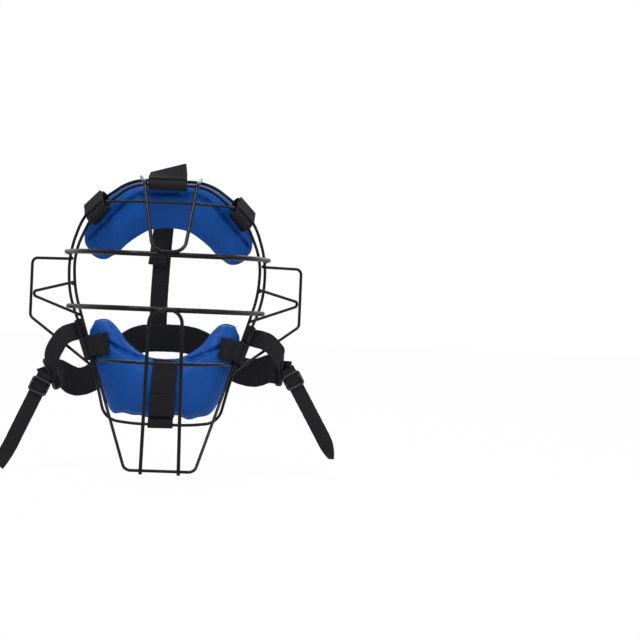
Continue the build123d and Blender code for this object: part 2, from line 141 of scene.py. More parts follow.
def add_node(tree: bpy.types.NodeTree, kind: str, settings: dict | None = None,
             inputs: dict | None = None) -> bpy.types.Node:
    """Adds one node of any type to a tree.

    Args:
        tree: The tree.
        kind: The node's type name.
        settings: Its own settings.
        inputs: Values or links for its sockets, by name or number.

    Returns:
        The node.
    """
    node = tree.nodes.new(kind)
    for key, value in (settings or {}).items():
        setattr(node, key, value)
    for key, value in (inputs or {}).items():
        source = value.link if isinstance(value, Sock) else value
        if isinstance(source, bpy.types.NodeSocket):
            tree.links.new(source, node.inputs[key])
        else:
            node.inputs[key].default_value = value
    return node


class Shader:
    """One material and the nodes that it is made of."""

    def __init__(self, name: str) -> None:
        """Starts a material with its principled shader.

        Args:
            name: The material's name.
        """
        self.material = bpy.data.materials.new(name)
        self.material.use_nodes = True
        self.tree = self.material.node_tree
        self.main = next(n for n in self.tree.nodes if n.type == "BSDF_PRINCIPLED")

    def node(self, kind: str, settings: dict | None = None, inputs: dict | None = None,
             output: int | str = 0) -> Sock:
        """Adds one node of any type.

        Args:
            kind: The node's type name.
            settings: Its own settings.
            inputs: Values or links for its sockets, by name or number.
            output: The output socket to hand back.

        Returns:
            The chosen output, ready for arithmetic.
        """
        return Sock(self, add_node(self.tree, kind, settings, inputs).outputs[output])

    def maths(self, operation: str, first: Sock | float, second: Sock | float) -> Sock:
        """Adds a Math node."""
        return self.node("ShaderNodeMath", {"operation": operation}, {0: first, 1: second})

    def place(self) -> Sock:
        """Object coordinates, in metres."""
        return self.node("ShaderNodeTexCoord", output="Object")

    def strip(self) -> tuple[Sock, Sock]:
        """The place across and along a strap, in metres, from its own UV map.

        Returns:
            The place across and the place along.
        """
        uv = self.node("ShaderNodeTexCoord", output="UV")
        across = self.node("ShaderNodeSeparateXYZ", inputs={0: uv}, output="X")
        along = self.node("ShaderNodeSeparateXYZ", inputs={0: uv}, output="Y")
        return across, along

    def noise(self, scale: float, detail: float = 2.0, rough: float = 0.5) -> Sock:
        """Smooth noise between zero and one.

        Args:
            scale: Features to a metre.
            detail: Octaves of finer noise.
            rough: How much the finer noise shows.

        Returns:
            The noise value.
        """
        return self.node(
            "ShaderNodeTexNoise",
            inputs={"Vector": self.place(), "Scale": scale, "Detail": detail, "Roughness": rough},
            output="Fac",
        )

    def blend(self, share: Sock, first: tuple, second: tuple) -> Sock:
        """Mixes two colours by a share: sockets 6 and 7 take them, and output 2 hands back the mix."""
        colours = {0: share, 6: (*first, 1.0), 7: (*second, 1.0)}
        return self.node("ShaderNodeMix", {"data_type": "RGBA"}, colours, output=2)

    def bump(self, height: Sock, distance: float, strength: float, normal: Sock | None = None) -> Sock:
        """A bumped normal.

        Args:
            height: The height, from zero to one.
            distance: What a height of one stands for, in metres.
            strength: How much of it shows.
            normal: A normal to add it to.

        Returns:
            The normal.
        """
        inputs = {"Height": height, "Distance": distance, "Strength": strength}
        if normal:
            inputs["Normal"] = normal
        return self.node("ShaderNodeBump", inputs=inputs)

    def set(self, **values: "Sock | float | tuple") -> None:
        """Gives the principled shader its values or links, an underscore standing for a space."""
        for key, value in values.items():
            socket = self.main.inputs[key.replace("_", " ")]
            if isinstance(value, Sock):
                self.tree.links.new(value.link, socket)
            else:
                socket.default_value = (*value, 1.0) if isinstance(value, tuple) else value


def linear(red: int, green: int, blue: int) -> tuple[float, float, float]:
    """A screen colour as the linear values that a shader takes."""
    shares = [value / 255 for value in (red, green, blue)]
    return tuple(v / 12.92 if v < 0.04045 else ((v + 0.055) / 1.055) ** 2.4 for v in shares)


class Growth:
    """A geometry node tree that repeats a small shape over a seed mesh."""

    def __init__(self, name: str, material: bpy.types.Material) -> None:
        """Starts a tree with its geometry input and output.

        Args:
            name: The tree's name.
            material: The finish of what grows.
        """
        self.tree = bpy.data.node_groups.new(name, "GeometryNodeTree")
        self.tree.interface.new_socket("Geometry", in_out="INPUT", socket_type="NodeSocketGeometry")
        self.tree.interface.new_socket("Geometry", in_out="OUTPUT", socket_type="NodeSocketGeometry")
        self.source = self.tree.nodes.new("NodeGroupInput")
        self.material = material
        self.sockets: dict[str, str] = {}

    def size(self, label: str) -> bpy.types.NodeSocket:
        """Adds a named size to the tree's inputs and returns its socket.

        Args:
            label: The size's name.

        Returns:
            Its socket.
        """
        item = self.tree.interface.new_socket(label, in_out="INPUT", socket_type="NodeSocketFloat")
        self.sockets[label] = item.identifier
        return next(s for s in self.source.outputs if s.identifier == item.identifier)

    def node(self, kind: str, settings: dict | None = None, inputs: dict | None = None) -> bpy.types.Node:
        """Adds one node with its settings, values and links."""
        return add_node(self.tree, kind, settings, inputs)

    def lay(self, points: bpy.types.NodeSocket, shape: bpy.types.NodeSocket,
            scale: bpy.types.NodeSocket | tuple[float, float, float], way: bpy.types.NodeSocket) -> None:
        """Lays a scaled copy of a shape at each point, its x axis turned to a direction, with its finish.

        Args:
            points: The points.
            shape: The small shape.
            scale: How it is scaled along its own axes.
            way: The direction at each point.
        """
        drawn = self.node("GeometryNodeTransform", inputs={"Geometry": shape, "Scale": scale})
        turn = self.node("FunctionNodeAlignRotationToVector", {"axis": "X"}, {"Vector": way})
        places = {"Points": points, "Instance": drawn.outputs[0], "Rotation": turn.outputs[0]}
        laid = self.node("GeometryNodeInstanceOnPoints", inputs=places)
        real = self.node("GeometryNodeRealizeInstances", inputs={0: laid.outputs[0]})
        finish = {"Geometry": real.outputs[0], "Material": self.material}
        dressed = self.node("GeometryNodeSetMaterial", inputs=finish)
        end = self.tree.nodes.new("NodeGroupOutput")
        self.tree.links.new(dressed.outputs[0], end.inputs[0])

    def grow(self, piece: bpy.types.Object, **sizes: float) -> bpy.types.Object:
        """Turns a seed object into a plain mesh of what grows on it.

        Args:
            piece: The object that holds the seed mesh.
            sizes: The tree's named inputs.

        Returns:
            The same object, with its grown mesh.
        """
        modifier = piece.modifiers.new("growth", "NODES")
        modifier.node_group = self.tree
        for label, value in sizes.items():
            modifier[self.sockets[label]] = value
        return settle(piece)


def put(name: str, mesh: bpy.types.ID, material: bpy.types.Material | None = None) -> bpy.types.Object:
    """Adds a mesh, or a lamp's or camera's data, to the scene as an object at the origin.

    Args:
        name: The object's name.
        mesh: Its mesh or other data.
        material: Its finish, where it has one yet.

    Returns:
        The object.
    """
    piece = bpy.data.objects.new(name, mesh)
    bpy.context.scene.collection.objects.link(piece)
    if material:
        mesh.materials.clear()
        mesh.materials.append(material)
    return piece


def smooth(piece: bpy.types.Object) -> bpy.types.Object:
    """Shades a mesh smooth."""
    piece.data.polygons.foreach_set("use_smooth", [True] * len(piece.data.polygons))
    return piece


def settle(piece: bpy.types.Object) -> bpy.types.Object:
    """Turns an object's modifiers into plain mesh.

    Args:
        piece: The object.

    Returns:
        The same object, with its plain mesh.
    """
    graph = bpy.context.evaluated_depsgraph_get()
    mesh = bpy.data.meshes.new_from_object(piece.evaluated_get(graph))
    piece.modifiers.clear()
    piece.data = mesh
    return smooth(piece)


def seed_mesh(name: str, lines: list[list[Vector]], along: list[Vector] | None = None) -> bpy.types.Object:
    """A mesh of loose lines or points that a tree grows on.

    Args:
        name: The object's name.
        lines: Lists of points, each joined into a line, or one list of loose points.
        along: A direction for each point, where the points are loose.

    Returns:
        The object.
    """
    points, edges = [], []
    for line in lines:
        first = len(points)
        points += [tuple(point) for point in line]
        if along is None:
            edges += [(first + k, first + k + 1) for k in range(len(line) - 1)]
    mesh = bpy.data.meshes.new(name)
    mesh.from_pydata(points, edges, [])
    if along is not None:
        attribute = mesh.attributes.new("along", "FLOAT_VECTOR", "POINT")
        attribute.data.foreach_set("vector", [c for way in along for c in way])
    return put(name, mesh)


def join(name: str, pieces: list[bpy.types.Object]) -> bpy.types.Object:
    """Joins meshes into one object.

    Args:
        name: The name of the result.
        pieces: The objects, which all share one finish.

    Returns:
        The joined object.
    """
    whole = bmesh.new()
    for piece in pieces:
        whole.from_mesh(piece.data)
    material = pieces[0].data.materials[0]
    mesh = bpy.data.meshes.new(name)
    whole.to_mesh(mesh)
    whole.free()
    for piece in pieces:
        bpy.data.objects.remove(piece)
    return smooth(put(name, mesh, material))


def through(points: list[Vector], count: int) -> list[Vector]:
    """Evenly spaced points on a smooth curve through given points.

    Args:
        points: The points that the curve goes through.
        count: How many points to return.

    Returns:
        The points on the curve.
    """
    padded = [points[0] * 2 - points[1], *points, points[-1] * 2 - points[-2]]
    fine: list[Vector] = []
    steps = 24
    for a, b, c, d in zip(padded, padded[1:], padded[2:], padded[3:]):
        for k in range(steps):
            t = k / steps
            fine.append(0.5 * (2 * b + (c - a) * t + (2 * a - 5 * b + 4 * c - d) * t**2
                               + (3 * b - a - 3 * c + d) * t**3))
    fine.append(points[-1].copy())
    return evenly(fine, count)


def evenly(points: list[Vector], count: int) -> list[Vector]:
    """Evenly spaced points along a run of straight lines.

    Args:
        points: The ends of the straight lines.
        count: How many points to return.

    Returns:
        The points.
    """
    array = np.array([tuple(p) for p in points])
    lengths = np.concatenate([[0], np.cumsum(np.linalg.norm(np.diff(array, axis=0), axis=1))])
    places = np.linspace(0, lengths[-1], count)
    columns = [np.interp(places, lengths, column) for column in array.T]
    return [Vector(point) for point in np.stack(columns, axis=1)]


# Finishes


@dataclass(frozen=True)
class CoatedWire:
    """Gloss black coating on steel wire, a little uneven like a dipped coat."""

    name: str
    colour: tuple[float, float, float] = (0.0045, 0.0045, 0.005)
    worn: tuple[float, float, float] = linear(26, 26, 29)
    roughness: float = 0.17
    specular: float = 0.16
    ripple: float = 420.0
    depth: float = 0.00005
    dust_share: float = 0.1
    scuff_share: float = 0.12
    scuff_edge: float = 0.66

    def make(self) -> bpy.types.Material:
        """Builds the material.

        Returns:
            The material.
        """
        shader = Shader(self.name)
        ripple = shader.noise(self.ripple, detail=2.0)
        dust = shader.noise(self.ripple * 6, detail=3.0, rough=0.7)
        patches = shader.noise(self.ripple / 6, detail=4.0, rough=0.7)
        scuff = patches.over(self.scuff_edge) * self.scuff_share
        shader.set(
            Base_Color=shader.blend(dust * self.dust_share + scuff, self.colour, self.worn),
            Roughness=self.roughness + ripple * 0.12 + scuff,
            Specular_IOR_Level=self.specular,
            Normal=shader.bump(ripple, self.depth, 0.5),
        )
        return shader.material


@dataclass(frozen=True)
class PadVinyl:
    """Blue coated cloth: fine grain, soft creases and a faint change of tone."""

    name: str
    deep: tuple[float, float, float] = linear(4, 64, 142)
    light: tuple[float, float, float] = linear(11, 86, 172)
    roughness: float = 0.38
    specular: float = 0.18
    tone: float = 30.0
    rub: float = 170.0
    grain: float = 1500.0
    grain_depth: float = 0.00012
    crease: float = 46.0
    crease_depth: float = 0.0007

    def make(self) -> bpy.types.Material:
        """Builds the material.

        Returns:
            The material.
        """
        shader = Shader(self.name)
        tone = shader.noise(self.tone, detail=3.0, rough=0.6)
        cells = {"Vector": shader.place(), "Scale": self.grain}
        grain = shader.node("ShaderNodeTexVoronoi", inputs=cells, output="Distance")
        crease = shader.noise(self.crease, detail=5.0, rough=0.62)
        fold = 1.0 - ((crease - 0.5).size() * 9.0) ** 0.6
        rub = shader.noise(self.rub, detail=4.0, rough=0.7)
        soft = shader.bump(fold, self.crease_depth, 0.35)
        shader.set(
            Base_Color=shader.blend(tone * 0.8 + rub * 0.25, self.deep, self.light),
            Roughness=self.roughness + rub * 0.16 + grain * 0.05,
            Specular_IOR_Level=self.specular,
            Normal=shader.bump(grain, self.grain_depth, 0.45, soft),
        )
        return shader.material


@dataclass(frozen=True)
class FleeceTape:
    """The looped, brushed face of hook-and-loop tape."""

    name: str
    colour: tuple[float, float, float] = linear(22, 21, 24)
    worn: tuple[float, float, float] = linear(44, 43, 48)
    roughness: float = 0.82
    specular: float = 0.12
    pile: float = 2600.0
    depth: float = 0.0005

    def make(self) -> bpy.types.Material:
        """Builds the material.

        Returns:
            The material.
        """
        shader = Shader(self.name)
        pile = shader.noise(self.pile, detail=4.0, rough=0.8)
        matt = shader.noise(self.pile / 8, detail=3.0, rough=0.6)
        shader.set(
            Base_Color=shader.blend(pile * 0.6 + matt * 0.4, self.colour, self.worn),
            Roughness=self.roughness + matt * 0.15,
            Specular_IOR_Level=self.specular,
            Normal=shader.bump(pile, self.depth, 0.7),
        )
        return shader.material


class Weave(Enum):
    """How a strap is woven."""

    WEBBING = "webbing"
    ELASTIC = "elastic"


@dataclass(frozen=True)
class WovenStrap:
    """Black woven strap: slanted ribs on webbing, long ribs and cross threads on elastic."""

    name: str
    weave: Weave
    width: float
    colour: tuple[float, float, float] = linear(10, 10, 12)
    worn: tuple[float, float, float] = linear(42, 42, 47)
    roughness: float = 0.62
    specular: float = 0.16
    pitch: float = 0.0014
    column: float = 0.0024
    selvedge: float = 0.0013
    fuzz: float = 3200.0
    lint: float = 90.0
    depth: float = 0.00028

    def make(self) -> bpy.types.Material:
        """Builds the material.

        Returns:
            The material.
        """
        shader = Shader(self.name)
        across, along = shader.strip()
        if self.weave is Weave.WEBBING:
            off = ((across / self.column).part() - 0.5).size()
            slant = off * self.column * 1.6
            rib = ((along + slant) * (math.tau / self.pitch)).sine() * 0.5 + 0.5
            height = rib * 0.7 + (1.0 - (off * 2.0) ** 4.0) * 0.3
        else:
            rib = (across * (math.tau / self.pitch)).sine() * 0.5 + 0.5
            thread = (along * (math.tau / (self.pitch * 0.8))).sine() * 0.5 + 0.5
            height = rib * 0.6 + thread * 0.4
        edge = across.size().over(self.width / 2 - self.selvedge)
        fuzz = shader.noise(self.fuzz, detail=3.0, rough=0.8)
        lint = shader.noise(self.lint, detail=3.0, rough=0.6)
        wear = height * 0.4 + fuzz * 0.25 + lint * 0.15 + edge * 0.1
        shader.set(
            Base_Color=shader.blend(wear, self.colour, self.worn),
            Roughness=self.roughness + fuzz * 0.25,
            Specular_IOR_Level=self.specular,
            Normal=shader.bump(height * (1.0 - edge) + fuzz * 0.25, self.depth, 0.8),
        )
        return shader.material


@dataclass(frozen=True)
class MouldedPlastic:
    """Black moulded plastic of the rings and sliders."""

    name: str
    colour: tuple[float, float, float] = (0.006, 0.006, 0.007)
    worn: tuple[float, float, float] = linear(40, 40, 44)
    roughness: float = 0.22
    specular: float = 0.5
    flow: float = 240.0
    haze: float = 1800.0
    depth: float = 0.0001

    def make(self) -> bpy.types.Material:
        """Builds the material.

        Returns:
            The material.
        """
        shader = Shader(self.name)
        flow = shader.noise(self.flow, detail=2.0)
        haze = shader.noise(self.haze, detail=3.0, rough=0.7)
        shader.set(
            Base_Color=shader.blend(haze * 0.3 + flow * 0.1, self.colour, self.worn),
            Roughness=self.roughness + haze * 0.12,
            Specular_IOR_Level=self.specular,
            Normal=shader.bump(flow, self.depth, 0.4),
        )
        return shader.material


@dataclass(frozen=True)
class Thread:
    """Twisted sewing thread."""

    name: str
    colour: tuple[float, float, float] = linear(46, 46, 50)
    roughness: float = 0.55
    twist: float = 4200.0
    depth: float = 0.0001

    def make(self) -> bpy.types.Material:
        """Builds the material.

        Returns:
            The material.
        """
        shader = Shader(self.name)
        twist = shader.noise(self.twist, detail=2.0)
        shade, shine = (tuple(c * share for c in self.colour) for share in (0.7, 1.3))
        shader.set(
            Base_Color=shader.blend(twist, shade, shine),
            Roughness=self.roughness + twist * 0.2,
            Normal=shader.bump(twist, self.depth, 0.6),
        )
        return shader.material


@dataclass(frozen=True)
class Finishes:
    """Every finish of the guard, made once."""

    wire: bpy.types.Material
    vinyl: bpy.types.Material
    fleece: bpy.types.Material
    webbing: bpy.types.Material
    elastic: bpy.types.Material
    plastic: bpy.types.Material
    thread: bpy.types.Material


# Swept shapes


def swept_faces(rings: int, ring: int, closed: bool = False) -> list[tuple[int, ...]]:
    """The four-sided faces between the sections of a swept shape.

    Args:
        rings: How many sections there are.
        ring: How many points a section has.
        closed: True where the last section joins the first.

    Returns:
        The faces, as numbers of points.
    """
    faces = []
    for k in range(rings if closed else rings - 1):
        here, after = k * ring, (k + 1) % rings * ring
        for j in range(ring):
            beside = (j + 1) % ring
            faces.append((here + j, here + beside, after + beside, after + j))
    return faces


def outward(piece: bpy.types.Object) -> bpy.types.Object:
    """Turns a closed mesh's faces outwards.

    Args:
        piece: The mesh's object.

    Returns:
        The same object.
    """
    whole = bmesh.new()
    whole.from_mesh(piece.data)
    bmesh.ops.recalc_face_normals(whole, faces=whole.faces)
    whole.to_mesh(piece.data)
    whole.free()
    return piece


def shell(name: str, points: list[tuple[float, float, float]], faces: list[tuple[int, ...]],
          material: bpy.types.Material | None = None) -> bpy.types.Object:
    """A closed mesh as an object, with its faces outwards.

    Args:
        name: The object's name.
        points: The mesh's points.
        faces: Its faces, as numbers of points.
        material: Its finish, where it has one yet.

    Returns:
        The object.
    """
    mesh = bpy.data.meshes.new(name)
    mesh.from_pydata(points, [], faces)
    return outward(put(name, mesh, material))


def squared(wave: float, curve: float) -> float:
    """A sine or cosine raised to a power with its sign kept, which squares off a round section."""
    return math.copysign(abs(wave) ** curve, wave)


def tube(name: str, line: list[Vector], radius: float, material: bpy.types.Material) -> bpy.types.Object:
    """A round tube along a line, with rounded ends.

    Args:
        name: The object's name.
        line: The middle line.
        radius: The tube's radius.
        material: Its finish.

    Returns:
        The tube's object.
    """
    ring, tip_share = 8, 0.35
    array = np.array([tuple(p) for p in line])
    ways = np.gradient(array, axis=0)
    ways /= np.linalg.norm(ways, axis=1)[:, None]
    side = np.cross(ways[0], (0.0, 0.0, 1.0) if abs(ways[0][2]) < 0.9 else (1.0, 0.0, 0.0))
    points = []
    for k, (place, way) in enumerate(zip(array, ways)):
        side = side - way * side.dot(way)
        side /= np.linalg.norm(side)
        up = np.cross(way, side)
        size = radius * (tip_share if k in (0, len(array) - 1) else 1.0)
        for j in range(ring):
            a = math.tau * j / ring
            points.append(tuple(place + (side * math.cos(a) + up * math.sin(a)) * size))
    faces = swept_faces(len(array), ring)
    faces.append(tuple(range(ring)))
    faces.append(tuple(reversed(range((len(array) - 1) * ring, len(array) * ring))))
    return smooth(shell(name, points, faces, material))


# Routes, seats and straps


@dataclass(frozen=True)
class WireRoute:
    """A wire's middle line: straight runs joined by arcs."""

    points: tuple[Vector, ...]
    share: float = 0.45
    last_radius: float = 0.0
    arc_steps: int = 16
    fine_steps: int = 1200

    def line(self) -> list[Vector]:
        """Closely spaced points along the runs and arcs.

        Returns:
            The points, from the wire's first end to its last.
        """
        line = [self.points[0].copy()]
        for k in range(1, len(self.points) - 1):
            here = self.points[k]
            before, after = self.points[k - 1] - here, self.points[k + 1] - here
            turn = math.pi - before.angle(after)
            reach = self.share * min(before.length, after.length)
            radius = reach / math.tan(turn / 2)
            if self.last_radius and k == len(self.points) - 2:
                radius = self.last_radius
            reach = radius * math.tan(turn / 2)
            inwards = (before.normalized() + after.normalized()).normalized()
            middle = here + inwards * (radius / math.cos(turn / 2))
            start, end = here + before.normalized() * reach, here + after.normalized() * reach
            for j in range(self.arc_steps + 1):
                spoke = (start - middle).slerp(end - middle, j / self.arc_steps)
                line.append(middle + spoke.normalized() * radius)
        line.append(self.points[-1].copy())
        return line

    def at(self, share: float) -> tuple[Vector, Vector]:
        """The point at a share of the length, and the way the wire runs there.

        Args:
            share: How far along the wire it lies.

        Returns:
            The point and the way.
        """
        line = evenly(self.line(), self.fine_steps + 1)
        place = min(int(share * self.fine_steps), self.fine_steps - 1)
        return line[place], (line[place + 1] - line[max(place - 1, 0)]).normalized()


@dataclass(frozen=True)
class Seat:
    """Where a strap goes round both rims: x from front to rear, y outwards and z along the rims."""

    middle: Vector
    x: Vector
    y: Vector
    z: Vector
    spread: float
    rear: Vector

    def point(self, x: float, y: float) -> Vector:
        """A point in the seat's own directions."""
        return self.middle + self.x * x + self.y * y


@dataclass
class Ribbon:
    """A flat strap with rounded edges, swept along a line of points."""

    name: str
    line: list[Vector]
    across: list[Vector]
    width: float
    thickness: float
    closed: bool = False
    ripple: float = 0.0
    seed: int = 1
    columns: int = 12
    waves: tuple[float, ...] = (190.0, 470.0)
    leans: tuple[float, ...] = (130.0, 390.0)
    trims: float = 700.0

    def frames(self) -> tuple[np.ndarray, np.ndarray, np.ndarray, np.ndarray]:
        """The middle, the way across and the way out at each point, and the distance along.

        Returns:
            The middles, the ways across, the ways out and the distances along.
        """
        line = np.array([tuple(p) for p in self.line])
        if self.closed:
            ways = np.roll(line, -1, axis=0) - np.roll(line, 1, axis=0)
        else:
            ways = np.gradient(line, axis=0)
        ways /= np.linalg.norm(ways, axis=1)[:, None]
        across = np.array([tuple(a) for a in self.across])
        across -= ways * np.sum(across * ways, axis=1)[:, None]
        across /= np.linalg.norm(across, axis=1)[:, None]
        steps = np.linalg.norm(np.diff(line, axis=0), axis=1)
        return line, across, np.cross(ways, across), np.concatenate([[0], np.cumsum(steps)])

    def section(self) -> list[tuple[float, float]]:
        """The rounded outline across the strap, as shares of the width and the thickness.

        Returns:
            The places of the outline's points.
        """
        round_off = self.thickness / self.width / 2
        flat = np.linspace(-0.5 + round_off, 0.5 - round_off, self.columns)
        arc = [math.pi * k / 4 for k in (1, 2, 3)]
        top = [(x, 0.5) for x in flat]
        right = [(0.5 - round_off + round_off * math.sin(a), 0.5 * math.cos(a)) for a in arc]
        bottom = [(x, -0.5) for x in reversed(flat)]
        left = [(-0.5 + round_off - round_off * math.sin(a), -0.5 * math.cos(a)) for a in arc]
        return top + right + bottom + left

    def sway(self, along: float, rates: tuple[float, ...], finer: float, phases: np.ndarray) -> float:
        """Two waves added, the second one finer.

        Args:
            along: The distance along the strap.
            rates: How fast each wave goes.
            finer: The finer wave's share.
            phases: Where each wave starts.

        Returns:
            How far the cloth stands off, within the ripple.
        """
        waves = math.sin(along * rates[0] + phases[0]) + finer * math.sin(along * rates[1] + phases[1])
        return self.ripple * waves / (1 + finer)

    def caps(self, rings: int, ring: int) -> list[tuple[int, ...]]:
        """The faces that close both ends of the strap.

        Args:
            rings: How many sections the strap has.
            ring: How many points a section has.

        Returns:
            The faces, as numbers of points.
        """
        faces = []
        half = self.columns
        for base, step in ((0, 1), ((rings - 1) * ring, -1)):
            loop = [base + j for j in range(ring)]
            for j in range(half - 1):
                low = ring - 4 - j
                faces.append((loop[j], loop[j + 1], loop[low - 1], loop[low])[::step])
            faces.append(tuple(loop[half - 1:half + 4])[::step])
            faces.append((loop[ring - 4], *loop[ring - 3:], loop[0])[::step])
        return faces

    def make(self, material: bpy.types.Material) -> bpy.types.Object:
        """Builds the strap.

        Args:
            material: Its finish.

        Returns:
            The strap's object, with a UV map in metres.
        """
        line, across, out, along = self.frames()
        random = np.random.default_rng(self.seed)
        phases = random.uniform(0, 2 * math.pi, 6)
        section = self.section()
        points, places = [], []
        rings, ring = len(line), len(section)
        for k in range(rings):
            s = along[k]
            wave = self.sway(s, self.waves, 0.6, phases[0:2])
            lean = self.sway(s, self.leans, 0.5, phases[2:4])
            trim = self.ripple * 0.4 * math.sin(s * self.trims + phases[4])
            for u, t in section:
                sideways = u * (self.width + trim)
                outwards = t * self.thickness + (wave * 2 * u + lean)
                points.append(tuple(line[k] + across[k] * sideways + out[k] * outwards))
                places.append((u * self.width, s))
        faces = swept_faces(rings, ring, self.closed)
        if not self.closed:
            faces += self.caps(rings, ring)
        mesh = bpy.data.meshes.new(self.name)
        mesh.from_pydata(points, [], faces)
        layer = mesh.uv_layers.new(name="strap")
        last = along[-1] + np.linalg.norm(line[0] - line[-1])
        for polygon in mesh.polygons:
            wraps = self.closed and max(polygon.vertices) - min(polygon.vertices) > (rings - 2) * ring
            for corner, vertex in zip(polygon.loop_indices, polygon.vertices):
                u, v = places[vertex]
                layer.data[corner].uv = (u, last if wraps and vertex < ring else v)
        return outward(smooth(put(self.name, mesh, material)))

    def edge_line(self, share: float, side: float, start: float, end: float,
                  lift: float = 0.0) -> list[Vector]:
        """A line on the strap's surface, for stitches.

        Args:
            share: The place across, from minus a half to a half.
            side: One for the outer face and minus one for the inner.
            start: Where along the strap the line starts, as a share.
            end: Where it ends.
            lift: How far above the face it lies.

        Returns:
            The points of the line.
        """
        line, across, out, _ = self.frames()
        first, last = int(start * (len(line) - 1)), int(end * (len(line) - 1))
        height = side * (self.thickness / 2 + lift)
        return [Vector(line[k] + across[k] * (share * self.width) + out[k] * height)
                for k in range(first, last + 1)]

    def rows(self, starts: tuple[float, ...]) -> list[list[Vector]]:
        """Straight rows of stitches across the strap, on both faces.

        Args:
            starts: Where along the strap the rows lie, as shares.

        Returns:
            The lines to sew.
        """
        shares = [step / 20 for step in range(-9, 10)]
        return [[self.edge_line(share, face, start, start)[0] for share in shares]
                for start in starts for face in (1, -1)]


# Sewing


class StitchBox:
    """The sewing of the guard: runs of separate stitches."""

    def __init__(self, finishes: Finishes) -> None:
        """Makes the tree that lays the stitches.

        Args:
            finishes: The guard's finishes.
        """
        self.growth = self.tree("dark_stitches", finishes.thread)

    def tree(self, name: str, material: bpy.types.Material) -> Growth:
        """A tree that lays one short capsule at each step along a line.

        Args:
            name: The tree's name.
            material: The thread.

        Returns:
            The tree.
        """
        growth = Growth(name, material)
        pitch, length, radius = growth.size("Pitch"), growth.size("Length"), growth.size("Radius")
        curve = growth.node("GeometryNodeMeshToCurve", inputs={0: growth.source.outputs[0]})
        steps = growth.node(
            "GeometryNodeResampleCurve", {"mode": "LENGTH"}, {"Curve": curve.outputs[0], "Length": pitch}
        )
        bead = growth.node("GeometryNodeMeshUVSphere", inputs={"Segments": 6, "Rings": 4, "Radius": 1.0})
        form = growth.node("ShaderNodeCombineXYZ", inputs={0: length, 1: radius, 2: radius})
        way = growth.node("GeometryNodeInputTangent")
        growth.lay(steps.outputs[0], bead.outputs[0], form.outputs[0], way.outputs[0])
        return growth

    def sew(self, name: str, lines: list[list[Vector]], pitch: float, radius: float = 0.00035,
            long_share: float = 0.36) -> bpy.types.Object:
        """Sews along lines.

        Args:
            name: The name of the stitching.
            lines: The lines, each a list of points.
            pitch: The distance from stitch to stitch.
            radius: The thread's radius.
            long_share: Half a stitch's length as a share of the pitch.

        Returns:
            The stitches' object.
        """
        seed = seed_mesh(name, lines)
        return self.growth.grow(seed, Pitch=pitch, Length=pitch * long_share, Radius=radius)


# The cage


